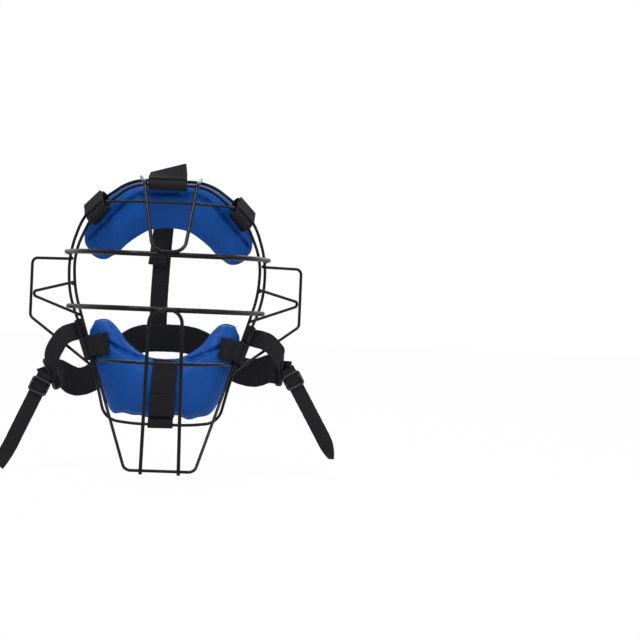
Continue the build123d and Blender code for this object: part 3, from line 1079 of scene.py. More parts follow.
@dataclass
class Cage:
    """The welded wire cage, whose wires are the frame's own pieces."""

    rim_wire: float = 0.003
    rim_half_width: float = 0.100
    rim_top: float = 0.128
    rim_chin: float = 0.114
    rim_bow: float = 0.033
    rim_front: float = -0.006
    front_half_width: float = 0.093
    front_top: float = 0.122
    front_lead: float = 0.018
    throat_half_width: float = 0.0335
    throat_drop: float = 0.1545
    throat_reach: float = 0.050
    throat_corner: float = 0.008
    cheek_half_width: float = 0.0695
    cheek_drop: float = 0.055
    cheek_back: float = 0.0068
    bead_radius: float = 0.0021
    bead_scale: tuple[float, float, float] = (1.5, 0.9, 0.9)
    weld_touch: float = 0.0016
    weld_spacing: float = 0.012
    wires: tuple[str, ...] = (
        "rear_rim", "front_rim", "brow_bar", "lower_eye_bar", "forehead_bar", "throat_guard_wire",
        "mouth_bar", "forehead_guard_wire", "left_ear_guard", "right_ear_guard", "left_ear_brace",
        "right_ear_brace",
    )
    rear: WireRoute = field(init=False)
    front: WireRoute = field(init=False)

    def __post_init__(self) -> None:
        """Lays out the routes of both rims."""
        rear_shares = [(0, 0, 1), (0.38, 0, 1), (0.85, 0.58, 0.75), (1.0, 0.95, 0.42), (0.99, 1.0, 0.10)]
        lower_shares = [(0.695, 0.26, 0.52), (0.565, 0.09, 0.97), (0.28, 0, 1), (0, 0, 1)]
        front_shares = [(0, 0, 1), (0.39, 0, 1), (0.82, 0.55, 0.75), (1.005, 0.94, 0.44), (0.99, 1.0, 0.14)]
        rear = [self.rear_point(x, y, z * self.rim_top) for x, y, z in rear_shares]
        rear += [self.rear_point(x, y, -z * self.rim_chin) for x, y, z in lower_shares]
        start = self.rim_front - self.front_lead
        front = [Vector((x * self.front_half_width, start + y * self.rim_bow, z * self.front_top))
                 for x, y, z in front_shares]
        front.append(Vector((self.cheek_half_width, self.cheek_back, -self.cheek_drop)))
        front.append(Vector((self.throat_half_width, -self.throat_reach, -self.throat_drop)))
        front.append(Vector((0, -self.throat_reach, -self.throat_drop)))
        self.rear = WireRoute(tuple(rear))
        self.front = WireRoute(tuple(front), last_radius=self.throat_corner)

    def rear_point(self, x_share: float, y_share: float, z: float) -> Vector:
        """A point of the rear rim's route."""
        return Vector((x_share * self.rim_half_width, self.rim_front + y_share * self.rim_bow, z))

    def seat(self, rear_share: float, front_share: float) -> Seat:
        """The place of a strap round both rims.

        Args:
            rear_share: How far along the rear rim it lies.
            front_share: How far along the front rim it lies.

        Returns:
            The seat on the right-hand side.
        """
        rear, rear_way = self.rear.at(rear_share)
        front, front_way = self.front.at(front_share)
        z = (rear_way + front_way).normalized()
        x = rear - front
        spread = x.length
        x = (x - z * x.dot(z)).normalized()
        return Seat((rear + front) / 2, x, z.cross(x), z, spread, rear)

    def welds(self) -> tuple[list[Vector], list[Vector]]:
        """Where two wires touch: each place, and the way that a weld bead lies there.

        Returns:
            The places and the ways.
        """
        trees = {}
        for name in self.wires:
            mesh = frame["nodes"][name].data
            trees[name] = np.array([tuple(v.co) for v in mesh.vertices])
        places, ways = [], []
        for k, first in enumerate(self.wires):
            for second in self.wires[k + 1:]:
                found = self.meeting(trees[first], trees[second])
                for place, way in found:
                    places.append(place)
                    ways.append(way)
        return places, ways

    def meeting(self, first: np.ndarray, second: np.ndarray) -> list[tuple[Vector, Vector]]:
        """The middles of the places where two wires' surfaces come together.

        Args:
            first: The points of one wire's surface.
            second: The points of the other's.

        Returns:
            A place and a direction for each group of close points.
        """
        touch = self.weld_touch
        low, high = second.min(0) - touch, second.max(0) + touch
        near = first[np.all((first > low) & (first < high), axis=1)]
        if not len(near):
            return []
        gaps = np.linalg.norm(near[:, None, :] - second[None, :, :], axis=2)
        close = gaps.min(axis=1) < touch
        hits = (near[close] + second[gaps[close].argmin(axis=1)]) / 2 if close.any() else np.zeros((0, 3))
        groups: list[list[np.ndarray]] = []
        for hit in hits:
            for group in groups:
                if np.linalg.norm(np.mean(group, axis=0) - hit) < self.weld_spacing:
                    group.append(hit)
                    break
            else:
                groups.append([hit])
        found = []
        for group in groups:
            cloud = np.array(group)
            middle = cloud.mean(axis=0)
            way = np.linalg.svd(cloud - middle)[2][0] if len(cloud) > 2 else np.array([1.0, 0, 0])
            found.append((Vector(middle), Vector(way)))
        return found

    def dress(self, finishes: Finishes) -> None:
        """Gives every wire its coating and adds the weld beads.

        Args:
            finishes: The guard's finishes.
        """
        for name in self.wires:
            for slot in frame["nodes"][name].material_slots:
                slot.material = finishes.wire
        places, ways = self.welds()
        growth = Growth("weld_beads", finishes.wire)
        radius = growth.size("Radius")
        ball = growth.node("GeometryNodeMeshIcoSphere", inputs={"Radius": radius, "Subdivisions": 3})
        kind = {"data_type": "FLOAT_VECTOR"}
        way = growth.node("GeometryNodeInputNamedAttribute", kind, {"Name": "along"})
        growth.lay(growth.source.outputs[0], ball.outputs[0], self.bead_scale, way.outputs[0])
        beads = growth.grow(seed_mesh("weld_beads", [places], ways), Radius=self.bead_radius)
        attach(beads, "root")
        log.info("cage: %d wires and %d weld beads", len(self.wires), len(places))


# The pads


@dataclass
class SewnPad:
    """A sewn cushion behind the rear rim, laid out by shares of its half width and height."""

    name: str
    node: str
    half_width: float
    height: float
    thickness: float
    shares: tuple[tuple[float, float, float, float], ...]
    crease_shares: tuple[tuple[float, float], ...]
    crease_depth: float = 0.0042
    crease_width: float = 0.0030
    foam: float = 0.7
    pinch: float = 0.0022
    voxel: float = 0.004
    swell: float = 0.0045
    drift: float = 0.2
    lean: float = 0.0
    hem: float = 0.0
    press_half_width: float = 0.0
    press_depth: float = 0.0016
    press_fade: float = 0.004
    front: float = 0.0
    bow: float = 0.033
    bow_half_width: float = 0.100
    rings: int = 61
    ring: int = 40
    face_curve: float = 0.8
    edge_curve: float = 0.62
    least: float = 0.002
    pressure: float = 4.0
    frames: int = 20
    face_fade: float = 0.006
    crease_start: float = 0.05
    crease_end: float = 0.06
    lean_height: float = 0.3
    lean_fade: float = 0.3
    pucker: float = 0.25
    pucker_rates: tuple[float, float] = (420.0, 173.0)
    hem_start: float = 0.80
    hem_run: float = 0.18
    hem_rates: tuple[float, float] = (150.0, 330.0)
    pipe_radius: float = 0.0011
    pipe_share: float = 0.93
    pipe_slice: float = 0.003

    def station(self, x_share: float) -> tuple[float, float, float]:
        """The lower edge, the upper edge and the thickness at a share of the half width.

        Args:
            x_share: How far out it lies, from minus one to one.

        Returns:
            Both edges and the thickness, as shares.
        """
        places = [row[0] for row in self.shares]
        at = abs(x_share)
        return tuple(float(np.interp(at, places, [row[k] for row in self.shares])) for k in (1, 2, 3))

    def front_at(self, x: float) -> float:
        """How far back the pad's front lies at a place from left to right."""
        return self.front + self.bow * (x / self.bow_half_width) ** 2

    def form(self) -> bpy.types.Object:
        """The cushion before it is filled: crowned sections, a little under size.

        Returns:
            The cushion's object.
        """
        rings, ring = self.rings, self.ring
        points = []
        reach = self.half_width - self.pinch
        for k in range(rings):
            share = math.sin((k / (rings - 1) - 0.5) * math.pi)
            low, high, thick = self.station(share)
            x = share * reach
            bottom, top = sorted((low * self.height, high * self.height))
            tall, deep = (top - bottom) / 2 - self.pinch, thick * self.thickness / 2 - self.pinch
            tall, deep = max(tall, self.least), max(deep, self.least)
            y, z = self.front_at(x) + thick * self.thickness / 2, (top + bottom) / 2
            for j in range(ring):
                a = math.tau * j / ring
                back, up = squared(math.cos(a), self.face_curve), squared(math.sin(a), self.edge_curve)
                points.append((x, y + deep * back, z + tall * up))
        faces = swept_faces(rings, ring)
        faces.append(tuple(range(ring)))
        faces.append(tuple(reversed(range((rings - 1) * ring, rings * ring))))
        return shell(self.name, points, faces)

    def fill(self, piece: bpy.types.Object) -> None:
        """Blows the cushion up as cloth, with a cap on how far it moves.

        Args:
            piece: The cushion's object, whose mesh is changed.
        """
        remesh = piece.modifiers.new("even", "REMESH")
        remesh.mode = "VOXEL"
        remesh.voxel_size = self.voxel
        settle(piece)
        rest = np.zeros(len(piece.data.vertices) * 3)
        piece.data.vertices.foreach_get("co", rest)
        cloth = piece.modifiers.new("cloth", "CLOTH")
        cloth.settings.use_pressure = True
        cloth.settings.uniform_pressure_force = self.pressure
        cloth.settings.effector_weights.gravity = 0.0
        cloth.settings.quality = 5
        cloth.point_cache.frame_start, cloth.point_cache.frame_end = 1, self.frames
        for step in range(1, self.frames + 1):
            bpy.context.scene.frame_set(step)
        graph = bpy.context.evaluated_depsgraph_get()
        filled = np.zeros_like(rest)
        piece.evaluated_get(graph).data.vertices.foreach_get("co", filled)
        piece.modifiers.clear()
        bpy.context.scene.frame_set(1)
        move = (filled - rest).reshape(-1, 3)
        ways = np.zeros_like(rest)
        piece.data.vertex_normals.foreach_get("vector", ways)
        ways = ways.reshape(-1, 3)
        outward_move = (move * ways).sum(axis=1)
        along = (move - ways * outward_move[:, None]) * self.drift
        rest += (ways * np.clip(outward_move, 0.0, self.swell)[:, None] + along).ravel()
        piece.data.vertices.foreach_set("co", rest)
        piece.data.update()
        finer = piece.modifiers.new("finer", "SUBSURF")
        finer.levels = finer.render_levels = 2
        settle(piece)

    def crease_height(self, x: np.ndarray) -> np.ndarray:
        """The height of the sewn crease on the front, at places from left to right."""
        shares = np.array(self.crease_shares)
        return np.interp(np.abs(x) / self.half_width, shares[:, 0], shares[:, 1]) * self.height

    def shape(self, points: np.ndarray) -> np.ndarray:
        """Moves the filled cushion's points: the crease, the strap's dent and small puckers.

        Args:
            points: The points, a row each.

        Returns:
            The moved points.
        """
        x, y, z = points[:, 0].copy(), points[:, 1].copy(), points[:, 2].copy()
        low, high = self.crease_shares[0][0], self.crease_shares[-1][0]
        share = np.abs(x) / self.half_width
        within = np.clip((share - low) / self.crease_start + 1, 0, 1)
        within = within * np.clip((high - share) / self.crease_end + 0.5, 0, 1)
        middle = np.array([self.front_at(v) for v in x]) + self.thickness * 0.45
        facing = np.clip((middle - y) / self.face_fade, 0, 1)
        gap = z - self.crease_height(x)
        fine, coarse = self.pucker_rates
        pucker = 1 + self.pucker * np.sin(x * fine) * np.sin(x * coarse + 1.0)
        y = y + self.crease_depth * pucker * within * facing * np.exp(-((gap / self.crease_width) ** 2))
        below = np.clip(-gap / abs(self.height * self.lean_height), 0, 1)
        below = below * np.clip((1.0 - share) / self.lean_fade, 0, 1)
        y = y + self.lean * below * facing
        if self.press_half_width:
            reach = (self.press_half_width + self.press_fade - np.abs(x)) / self.press_fade
            reach = np.clip(reach, 0, 1)
            y = y + self.press_depth * reach * reach * (3 - 2 * reach) * facing
        if self.hem:
            edge = np.clip((-z / abs(self.height) - self.hem_start) / self.hem_run, 0, 1)
            coarse, fine = self.hem_rates
            z = z + self.hem * edge * (np.sin(x * coarse + 0.6) + 0.5 * np.sin(x * fine + 2.0)) * 0.7
        return np.stack([x, y, z], axis=1)

    def rim_line(self, piece: bpy.types.Object, upper: bool) -> list[Vector]:
        """The line along the cushion's upper or lower edge, from left to right.

        Args:
            piece: The finished cushion.
            upper: True for the upper edge.

        Returns:
            Evenly spaced points on the edge.
        """
        points = np.array([tuple(v.co) for v in piece.data.vertices])
        line = []
        reach = self.half_width * self.pipe_share
        for x in np.linspace(-reach, reach, 45):
            near = points[np.abs(points[:, 0] - x) < self.pipe_slice]
            row = near[near[:, 2].argmax() if upper else near[:, 2].argmin()]
            line.append(Vector((x, row[1], row[2])))
        mesh = piece.data
        corners, faces = [v.co for v in mesh.vertices], [p.vertices for p in mesh.polygons]
        surface = BVHTree.FromPolygons(corners, faces)
        for _ in range(3):
            softened = [(a + b * 2 + c) / 4 for a, b, c in zip(line, line[1:], line[2:])]
            line = [surface.find_nearest(p)[0] for p in evenly([line[0], *softened, line[-1]], 120)]
        return line

    def build(self, finishes: Finishes) -> None:
        """Builds the cushion with its piping.

        Args:
            finishes: The guard's finishes.
        """
        piece = self.form()
        self.fill(piece)
        points = np.zeros(len(piece.data.vertices) * 3)
        piece.data.vertices.foreach_get("co", points)
        piece.data.vertices.foreach_set("co", self.shape(points.reshape(-1, 3)).ravel())
        piece.data.update()
        piece.data.materials.clear()
        piece.data.materials.append(finishes.vinyl)
        smooth(outward(piece))
        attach(piece, "root")
        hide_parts(f"{self.node}_cover", f"{self.node}_foam")
        pipes = []
        for edge in ("upper", "lower"):
            line = self.rim_line(piece, edge == "upper")
            pipes.append(tube(f"{self.name}_piping_{edge}", line, self.pipe_radius, finishes.vinyl))
        piping = join(f"{self.name}_piping", pipes)
        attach(piping, "root")
        log.info("%s: %d faces", self.name, len(piece.data.polygons))


FOREHEAD_PAD = SewnPad(
    name="forehead_cushion", node="forehead_pad", half_width=0.0885, height=0.126, thickness=0.028,
    foam=0.7, crease_width=0.0023, lean=0.006,
    shares=(
        (0, 0.645, 1.02, 1.0), (0.12, 0.64, 1.03, 1.0), (0.25, 0.62, 1.052, 1.0),
        (0.43, 0.54, 1.025, 0.98), (0.59, 0.445, 0.98, 0.95), (0.72, 0.39, 0.92, 0.9),
        (0.8, 0.372, 0.87, 0.85), (0.88, 0.395, 0.81, 0.75), (0.96, 0.45, 0.72, 0.55),
        (1.0, 0.50, 0.66, 0.4),
    ),
    crease_shares=(
        (0, 0.93), (0.25, 0.92), (0.41, 0.885), (0.54, 0.82), (0.7, 0.71), (0.84, 0.6), (0.93, 0.53),
    ),
)
CHIN_PAD = SewnPad(
    name="chin_cushion", node="chin_pad", half_width=0.079, height=-0.107, thickness=0.030,
    foam=0.65, crease_width=0.0024, hem=0.0024, press_half_width=0.0125,
    shares=(
        (0, 1.015, 0.449, 1.0), (0.2, 1.015, 0.439, 1.0), (0.38, 1.02, 0.374, 1.0),
        (0.53, 1.03, 0.28, 1.0), (0.66, 0.99, 0.178, 0.97), (0.785, 0.82, 0.107, 0.9),
        (0.873, 0.68, 0.09, 0.8), (0.95, 0.53, 0.121, 0.6), (1.0, 0.38, 0.196, 0.35),
    ),
    crease_shares=((0.16, 0.46), (0.34, 0.455), (0.52, 0.40), (0.72, 0.33), (0.86, 0.28)),
)


# Pad straps


@dataclass(frozen=True)
class Hold:
    """One strap of a pad: its seat and width, its run down the pad and its flap's stand and turn."""

    name: str
    side: str
    seat: Seat
    width: float
    pad: SewnPad
    reach: float
    slant: float = 0.0
    lift: float = 0.0004
    twist: float = 0.0


@dataclass
class PadStraps:
    """Hook-and-loop straps that hold the pads to the rims."""

    cage: Cage
    finishes: Finishes
    stitches: StitchBox
    thickness: float = 0.0018
    fit: float = 0.0017
    gap: float = 0.0003
    forehead_shares: tuple[float, float] = (0.235, 0.195)
    cheek_shares: tuple[float, float] = (0.653, 0.581)
    forehead_width: float = 0.024
    cheek_width: float = 0.0225
    top_width: float = 0.038
    forehead_reach: float = 0.014
    cheek_reach: float = 0.022
    cheek_slant: float = 9.0
    top_reach: float = 0.009
    top_shift: float = -0.0035
    top_lift: float = 0.0065
    top_twist: float = 27.0
    chin_width: float = 0.025
    chin_run: float = 0.063
    chin_lean: float = -0.0014
    chin_wave: float = 0.0004
    chin_tab_bow: float = 0.0006

    @property
    def loop_half(self) -> float:
        """Half the height of a loop, to the middle of its tape."""
        return self.cage.rim_wire / 2 + self.fit + self.thickness / 2

    def mirrored(self, points: list[Vector], side: str) -> list[Vector]:
        """The points as they are on the right, or mirrored to the left."""
        return points if side == "right" else [Vector((-p.x, p.y, p.z)) for p in points]

    def wrap(self, hold: Hold) -> list[Vector]:
        """The run of a strap: up from its pad, round the front rim, back over it and round the rear rim.

        Args:
            hold: The strap.

        Returns:
            Evenly spaced points from the pad to the strap's tucked end.
        """
        seat, turn = hold.seat, math.radians(hold.slant)
        flat = Vector((seat.z.x, 0, seat.z.z)).normalized()
        inward = flat * math.sin(turn) + Vector((flat.z, 0, -flat.x)) * math.cos(turn)
        half, front, rear = self.loop_half, -seat.spread / 2, seat.spread / 2
        line = []
        for k in range(4):
            place = seat.rear + inward * (hold.reach * (1 - k * 0.08))
            place.y = hold.pad.front_at(place.x) - self.thickness / 2 - self.gap
            line.append(place)
        for middle, first, turned in ((front, 250, -160), (rear, 90, -180)):
            for k in range(13):
                a = math.radians(first + turned * k / 12)
                line.append(seat.point(middle + half * math.cos(a), half * math.sin(a)))
        line.append(seat.point(rear - seat.spread * 0.3, -half))
        return evenly(line, 90)

    def flap(self, hold: Hold) -> Ribbon:
        """The flap that presses on the outside of a loop.

        Args:
            hold: The strap that the flap belongs to.

        Returns:
            The flap's ribbon.
        """
        name, seat = hold.name + "_tab", hold.seat
        base = self.loop_half + self.thickness + self.gap
        line, across = [], []
        for k in range(21):
            share = k / 20
            line.append(seat.point(-seat.spread / 2 + seat.spread * share, base + hold.lift * share**2))
            turn = math.radians(hold.twist) * share**1.5
            across.append(seat.z * math.cos(turn) + seat.y * math.sin(turn))
        line, across = self.mirrored(line, hold.side), self.mirrored(across, hold.side)
        ribbon = Ribbon(name, line, across, hold.width, self.thickness, ripple=0.00012, columns=14)
        piece = ribbon.make(self.finishes.fleece)
        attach(piece, name.replace("_tab", "_flap"))
        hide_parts(name.replace("_tab", "_flap"))
        return ribbon

    def build(self) -> None:
        """Builds every strap and its flap."""
        forehead = self.cage.seat(*self.forehead_shares)
        cheek = self.cage.seat(*self.cheek_shares)
        for side in SIDES:
            self.pair(Hold(f"{side}_forehead_strap", side, forehead, self.forehead_width, FOREHEAD_PAD,
                           self.forehead_reach))
            self.pair(Hold(f"{side}_cheek_strap", side, cheek, self.cheek_width, CHIN_PAD,
                           self.cheek_reach, self.cheek_slant))
        top = self.cage.seat(0, 0)
        aside = Vector((self.top_shift, 0, 0))
        top = Seat(top.middle + aside, top.x, top.y, SIDEWAYS, top.spread, top.rear + aside)
        self.pair(Hold("top_strap", "right", top, self.top_width, FOREHEAD_PAD, self.top_reach,
                       lift=self.top_lift, twist=self.top_twist))
        self.chin()
        log.info("pad straps: 6 loops with their flaps")

    def pair(self, hold: Hold) -> None:
        """A strap with its flap and the flap's stitches.

        Args:
            hold: The strap.
        """
        name = hold.name
        line = self.mirrored(self.wrap(hold), hold.side)
        across = self.mirrored([hold.seat.z] * len(line), hold.side)
        band = Ribbon(name + "_band", line, across, hold.width, self.thickness, ripple=0.00015, columns=14)
        strap = band.make(self.finishes.fleece)
        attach(strap, "root")
        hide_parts(name)
        tab = self.flap(hold)
        face = SIDES[hold.side]
        lines = [tab.edge_line(share, s, 0.06, 0.94, STITCH_LIFT)
                 for share in (0.42, -0.42) for s in (face, -face)]
        sewn = self.stitches.sew(name + "_tab_stitches", lines, pitch=0.0022, radius=0.00025)
        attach(sewn, name + "_flap")

    def chin(self) -> None:
        """The strap that hangs on the bottom of the rear rim and runs up the chin pad."""
        bottom, _ = self.cage.rear.at(1.0)
        centre = bottom + Vector((0, 0, self.fit - self.gap))
        half = self.loop_half
        path = []
        for k in range(21):
            a = math.radians(120 + 240 * k / 20)
            path.append(centre + Vector((self.chin_lean, half * math.cos(a), half * math.sin(a))))
        for k in range(28):
            share = (k + 1) / 28
            shift = self.chin_lean * (1 - 2 * share)
            wave = self.chin_wave * math.sin(share * 9)
            path.append(centre + Vector((shift, half + wave, self.chin_run * share)))
        path = evenly(path, 80)
        strap = Ribbon("chin_strap_band", path, [SIDEWAYS] * len(path), self.chin_width,
                       self.thickness, ripple=0.0002, columns=14).make(self.finishes.fleece)
        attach(strap, "root")
        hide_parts("chin_strap")
        low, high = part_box("chin_strap_flap")
        middle = (low.y + high.y) / 2
        tab_line = []
        for k in range(21):
            bow = self.chin_tab_bow * (k / 20) ** 2
            tab_line.append(Vector((0.0, middle - bow, low.z + (high.z - low.z) * k / 20)))
        piece = Ribbon("chin_strap_tab", tab_line, [SIDEWAYS] * len(tab_line), self.chin_width,
                       self.thickness, ripple=0.0001, columns=14).make(self.finishes.fleece)
        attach(piece, "chin_strap_flap")
        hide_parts("chin_strap_flap")


# The harness


@dataclass(frozen=True)
class RingPlace:
    """Where one side's ring sits, its way to the band, its lean, and how far its tail's tip turns."""

    half: float
    drop: float
    inwards: float
    backwards: float
    upwards: float
    lean: float
    tail_turn: float


RINGS = {
    "left": RingPlace(
        half=0.1147, drop=0.0702, inwards=0.6, backwards=0.77, upwards=0.2, lean=0.44, tail_turn=12.0,
    ),
    "right": RingPlace(
        half=0.1204, drop=0.057, inwards=0.62, backwards=0.78, upwards=-0.02, lean=0.03, tail_turn=78.0,
    ),
}


@dataclass
class Harness:
    """Crown strap, elastic band, side webs, tails and their hardware."""

    cage: Cage
    straps: PadStraps
    finishes: Finishes
    stitches: StitchBox
    web_width: float = 0.019
    web_thickness: float = 0.0017
    band_width: float = 0.030
    band_thickness: float = 0.0024
    band_fold: float = 0.012
    band_points: int = 240
    band_back: float = 0.106
    band_drop: float = 0.0305
    crown_height: float = 0.129
    crown_shift: float = 0.008
    fold_shift: float = 0.005
    fold_stand: float = 0.0026
    crown_behind: float = 0.06
    ring_back: float = 0.044
    ring_length: float = 0.035
    ring_depth: float = 0.010
    ring_wire: float = 0.003
    ring_corner: float = 0.0021
    fold_close: float = 0.0004
    tail_width: float = 0.015
    tail_length: float = 0.100
    tail_fold: tuple[tuple[float, float], ...] = ((0.0045, 0.0022), (0.0030, 0.0008))
    tail_points: int = 71
    tail_stiff: float = 0.63
    tail_sway: float = 0.014
    tail_wave: float = 0.0006
    turn_start: float = 0.72
    slider_length: float = 0.016
    slider_wall: float = 0.002
    slider_place: float = 0.009
    slider_gap: float = 0.0003
    slider_corner: float = 0.0024
    hoop_flat: float = 0.35
    hoop_rise: float = 0.45
    hoop_width: float = 0.62
    bar_ends: float = 0.12
    web_share: float = 0.598
    web_bore: float = 0.0046
    web_stand: float = 0.0026
    web_fold: float = 0.010
    web_turn_points: int = 66
    gap: float = 0.0003

    def band_point(self, x_share: float, y_share: float, z_share: float, side: str) -> Vector:
        """A point on the middle of the band.

        Args:
            x_share: How far out to its side it lies.
            y_share: How far back it lies.
            z_share: How far down towards the ring it lies.
            side: Left or right.

        Returns:
            The point.
        """
        sign = SIDES[side]
        ring = RINGS[side]
        back = self.ring_back + y_share * (self.band_back - self.ring_back)
        down = self.band_drop + z_share * (ring.drop - self.band_drop)
        return Vector((sign * x_share * ring.half, back, -down))

    def ring_frame(self, side: str) -> tuple[Vector, Vector, Vector, Vector]:
        """A ring's middle, the way to the band, the way up its long side and its normal to the front.

        Args:
            side: Left or right.

        Returns:
            The middle and the three ways.
        """
        sign = SIDES[side]
        ring = RINGS[side]
        way = Vector((-sign * ring.inwards, ring.backwards, ring.upwards)).normalized()
        square = (ring.lean * ring.inwards - ring.upwards) / ring.backwards
        up = Vector((sign * ring.lean, square, 1)).normalized()
        normal = way.cross(up)
        return self.band_point(1, 0, 1, side), way, up, -normal if normal.y > 0 else normal

    def round_bar(self, side: str, way_sign: int, thickness: float, tail: float) -> list[Vector]:
        """How a strap folds round one long bar of a ring: over its front, through the slot and back.

        Args:
            side: Left or right.
            way_sign: One for the bar towards the band and minus one for the one towards the web.
            thickness: The strap's thickness.
            tail: How far the folded end runs back.

        Returns:
            The points from the strap's front face to its folded end.
        """
        middle, way, _, normal = self.ring_frame(side)
        bar = middle + way * (way_sign * (self.ring_depth - self.ring_wire) / 2)
        out = way * way_sign
        radius = (self.ring_wire + thickness) / 2
        points = []
        for k in range(9):
            a = math.radians(90 + 22.5 * k)
            points.append(bar + out * (radius * math.cos(a)) + normal * (radius * math.sin(a)))
        return [*points, points[-1] + out * tail - normal * self.fold_close]

    def nearness(self, place: Vector, ring: Vector, most: float, fade: float) -> float:
        """How near a place is to a ring, from zero to one, over a distance that it fades in."""
        return min(1.0, max(0.0, most - (place - ring).length / fade))

    def band(self) -> None:
        """The elastic band, which arches round the back of the head."""
        shares = [(0, 1.0, 0), (0.25, 0.98, 0.08), (0.44, 0.92, 0.5), (0.62, 0.78, 1.05),
                  (0.79, 0.57, 1.24), (0.93, 0.28, 1.0)]
        ends = {side: self.round_bar(side, 1, self.band_thickness, self.band_fold) for side in SIDES}
        middle = [self.band_point(*place, "left") for place in reversed(shares)]
        middle += [self.band_point(*place, "right") for place in shares[1:]]
        run = through([ends["left"][0], *middle, ends["right"][0]], 180)
        line = evenly([*reversed(ends["left"][1:]), *run, *ends["right"][1:]], self.band_points)
        across = []
        for k, place in enumerate(line):
            ring, _, up, _ = self.ring_frame("left" if k < len(line) / 2 else "right")
            across.append(Vector((0, 0, 1)).lerp(up, self.nearness(place, ring, 1.4, 0.025)))
        ribbon = Ribbon("elastic_band", line, across, self.band_width, self.band_thickness, ripple=0.0004,
                        columns=22, seed=3)
        piece = ribbon.make(self.finishes.elastic)
        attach(piece, "root")
        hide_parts("back_band")
        rows = ribbon.rows((0.085, 0.11, 0.888, 0.913))
        sewn = self.stitches.sew("band_stitches", rows, pitch=0.0022, radius=0.0003)
        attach(sewn, "root")

    def crown(self) -> None:
        """The webbing over the crown and its folded end."""
        start = self.cage.rim_front + self.straps.loop_half + self.straps.thickness / 2 + self.gap
        back = self.band_back + (self.band_thickness + self.web_thickness) / 2 + self.gap
        shares = [(0, 0.0, 1.0), (0.1, 0.3, 1.0), (0.35, 0.72, 0.88), (0.7, 0.95, 0.58), (0.95, 1.0, 0.2)]
        points = [Vector((-x * self.crown_shift, start + y * (back - start), z * self.crown_height))
                  for x, y, z in shares]
        points += [Vector((-self.crown_shift, back, 0)), Vector((-self.crown_shift, back, -self.band_drop))]
        line = through(points, 150)
        ribbon = Ribbon("crown_webbing", line, [SIDEWAYS] * len(line), self.web_width,
                        self.web_thickness, ripple=0.0003, columns=16, seed=5)
        piece = ribbon.make(self.finishes.webbing)
        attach(piece, "root")
        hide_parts("crown_strap")
        low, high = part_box("crown_strap_fold")
        fold_line = []
        for before, here, after in zip(line, line[1:], line[2:]):
            if low.z <= here.z <= high.z and here.y > self.crown_behind:
                square = SIDEWAYS.cross(after - before).normalized()
                square = -square if square.y > 0 else square
                share = (here.z - low.z) / (high.z - low.z)
                shift = self.fold_shift * (1 - 0.5 * share)
                fold_line.append(here + square * self.fold_stand - Vector((shift, 0, 0)))
        fold_line = evenly(fold_line[::-1], 41)
        fold = Ribbon("crown_webbing_fold", fold_line, [SIDEWAYS] * len(fold_line), self.web_width,
                      self.web_thickness, ripple=0.0003, columns=16, seed=6)
        end = fold.make(self.finishes.webbing)
        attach(end, "root")
        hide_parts("crown_strap_fold")
        sewn = self.stitches.sew("crown_stitches", self.stitch_box(fold, 0.12, 0.42, -1.0), pitch=0.0024)
        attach(sewn, "root")

    def stitch_box(self, ribbon: Ribbon, start: float, end: float, side: float) -> list[list[Vector]]:
        """A sewn box with a cross in it, on one face of a strap.

        Args:
            ribbon: The strap.
            start: Where the box starts along it, as a share.
            end: Where it ends.
            side: Which face it is sewn on.

        Returns:
            The lines to sew.
        """
        left, right = (ribbon.edge_line(share, side, start, end, STITCH_LIFT) for share in (-0.36, 0.36))
        rungs = [[left[row].lerp(right[row], k / 8) for k in range(9)] for row in (0, -1)]
        count = len(left)
        down = [left[k].lerp(right[k], k / (count - 1)) for k in range(count)]
        up = [right[k].lerp(left[k], k / (count - 1)) for k in range(count)]
        return [left, right, *rungs, down, up]

    def side(self, side: str) -> None:
        """One side's web, ring, tail and slider.

        Args:
            side: Left or right.
        """
        self.web_loop(side)
        self.web(side)
        self.ring(side)
        self.tail(side)
        self.slider(side)

    def rim_frame(self) -> tuple[Vector, Vector, Vector, Vector]:
        """The right web's place on the rear rim, and the ways along the rim, out from it and back.

        Returns:
            The place and the three ways.
        """
        rim, rim_way = self.cage.rear.at(self.web_share)
        out = Vector((-rim_way.z, 0, rim_way.x)).normalized()
        return rim, rim_way, out, rim_way.cross(out)

    def web_loop(self, side: str) -> None:
        """The loop of a web that is sewn round the rear rim.

        Args:
            side: Left or right.
        """
        rim, rim_way, out, depth = self.rim_frame()
        half = (self.web_bore + self.straps.thickness) / 2
        circle = []
        for k in range(32):
            a = math.tau * k / 32
            circle.append(rim + out * (half * math.cos(a)) + depth * (half * math.sin(a)))
        circle = self.straps.mirrored(circle, side)
        ways = self.straps.mirrored([rim_way] * len(circle), side)
        loop = Ribbon(f"{side}_web_wrap", circle, ways, self.web_width, self.straps.thickness, closed=True,
                      ripple=0.00012, columns=14).make(self.finishes.webbing)
        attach(loop, "root")
        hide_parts(f"{side}_web_loop")

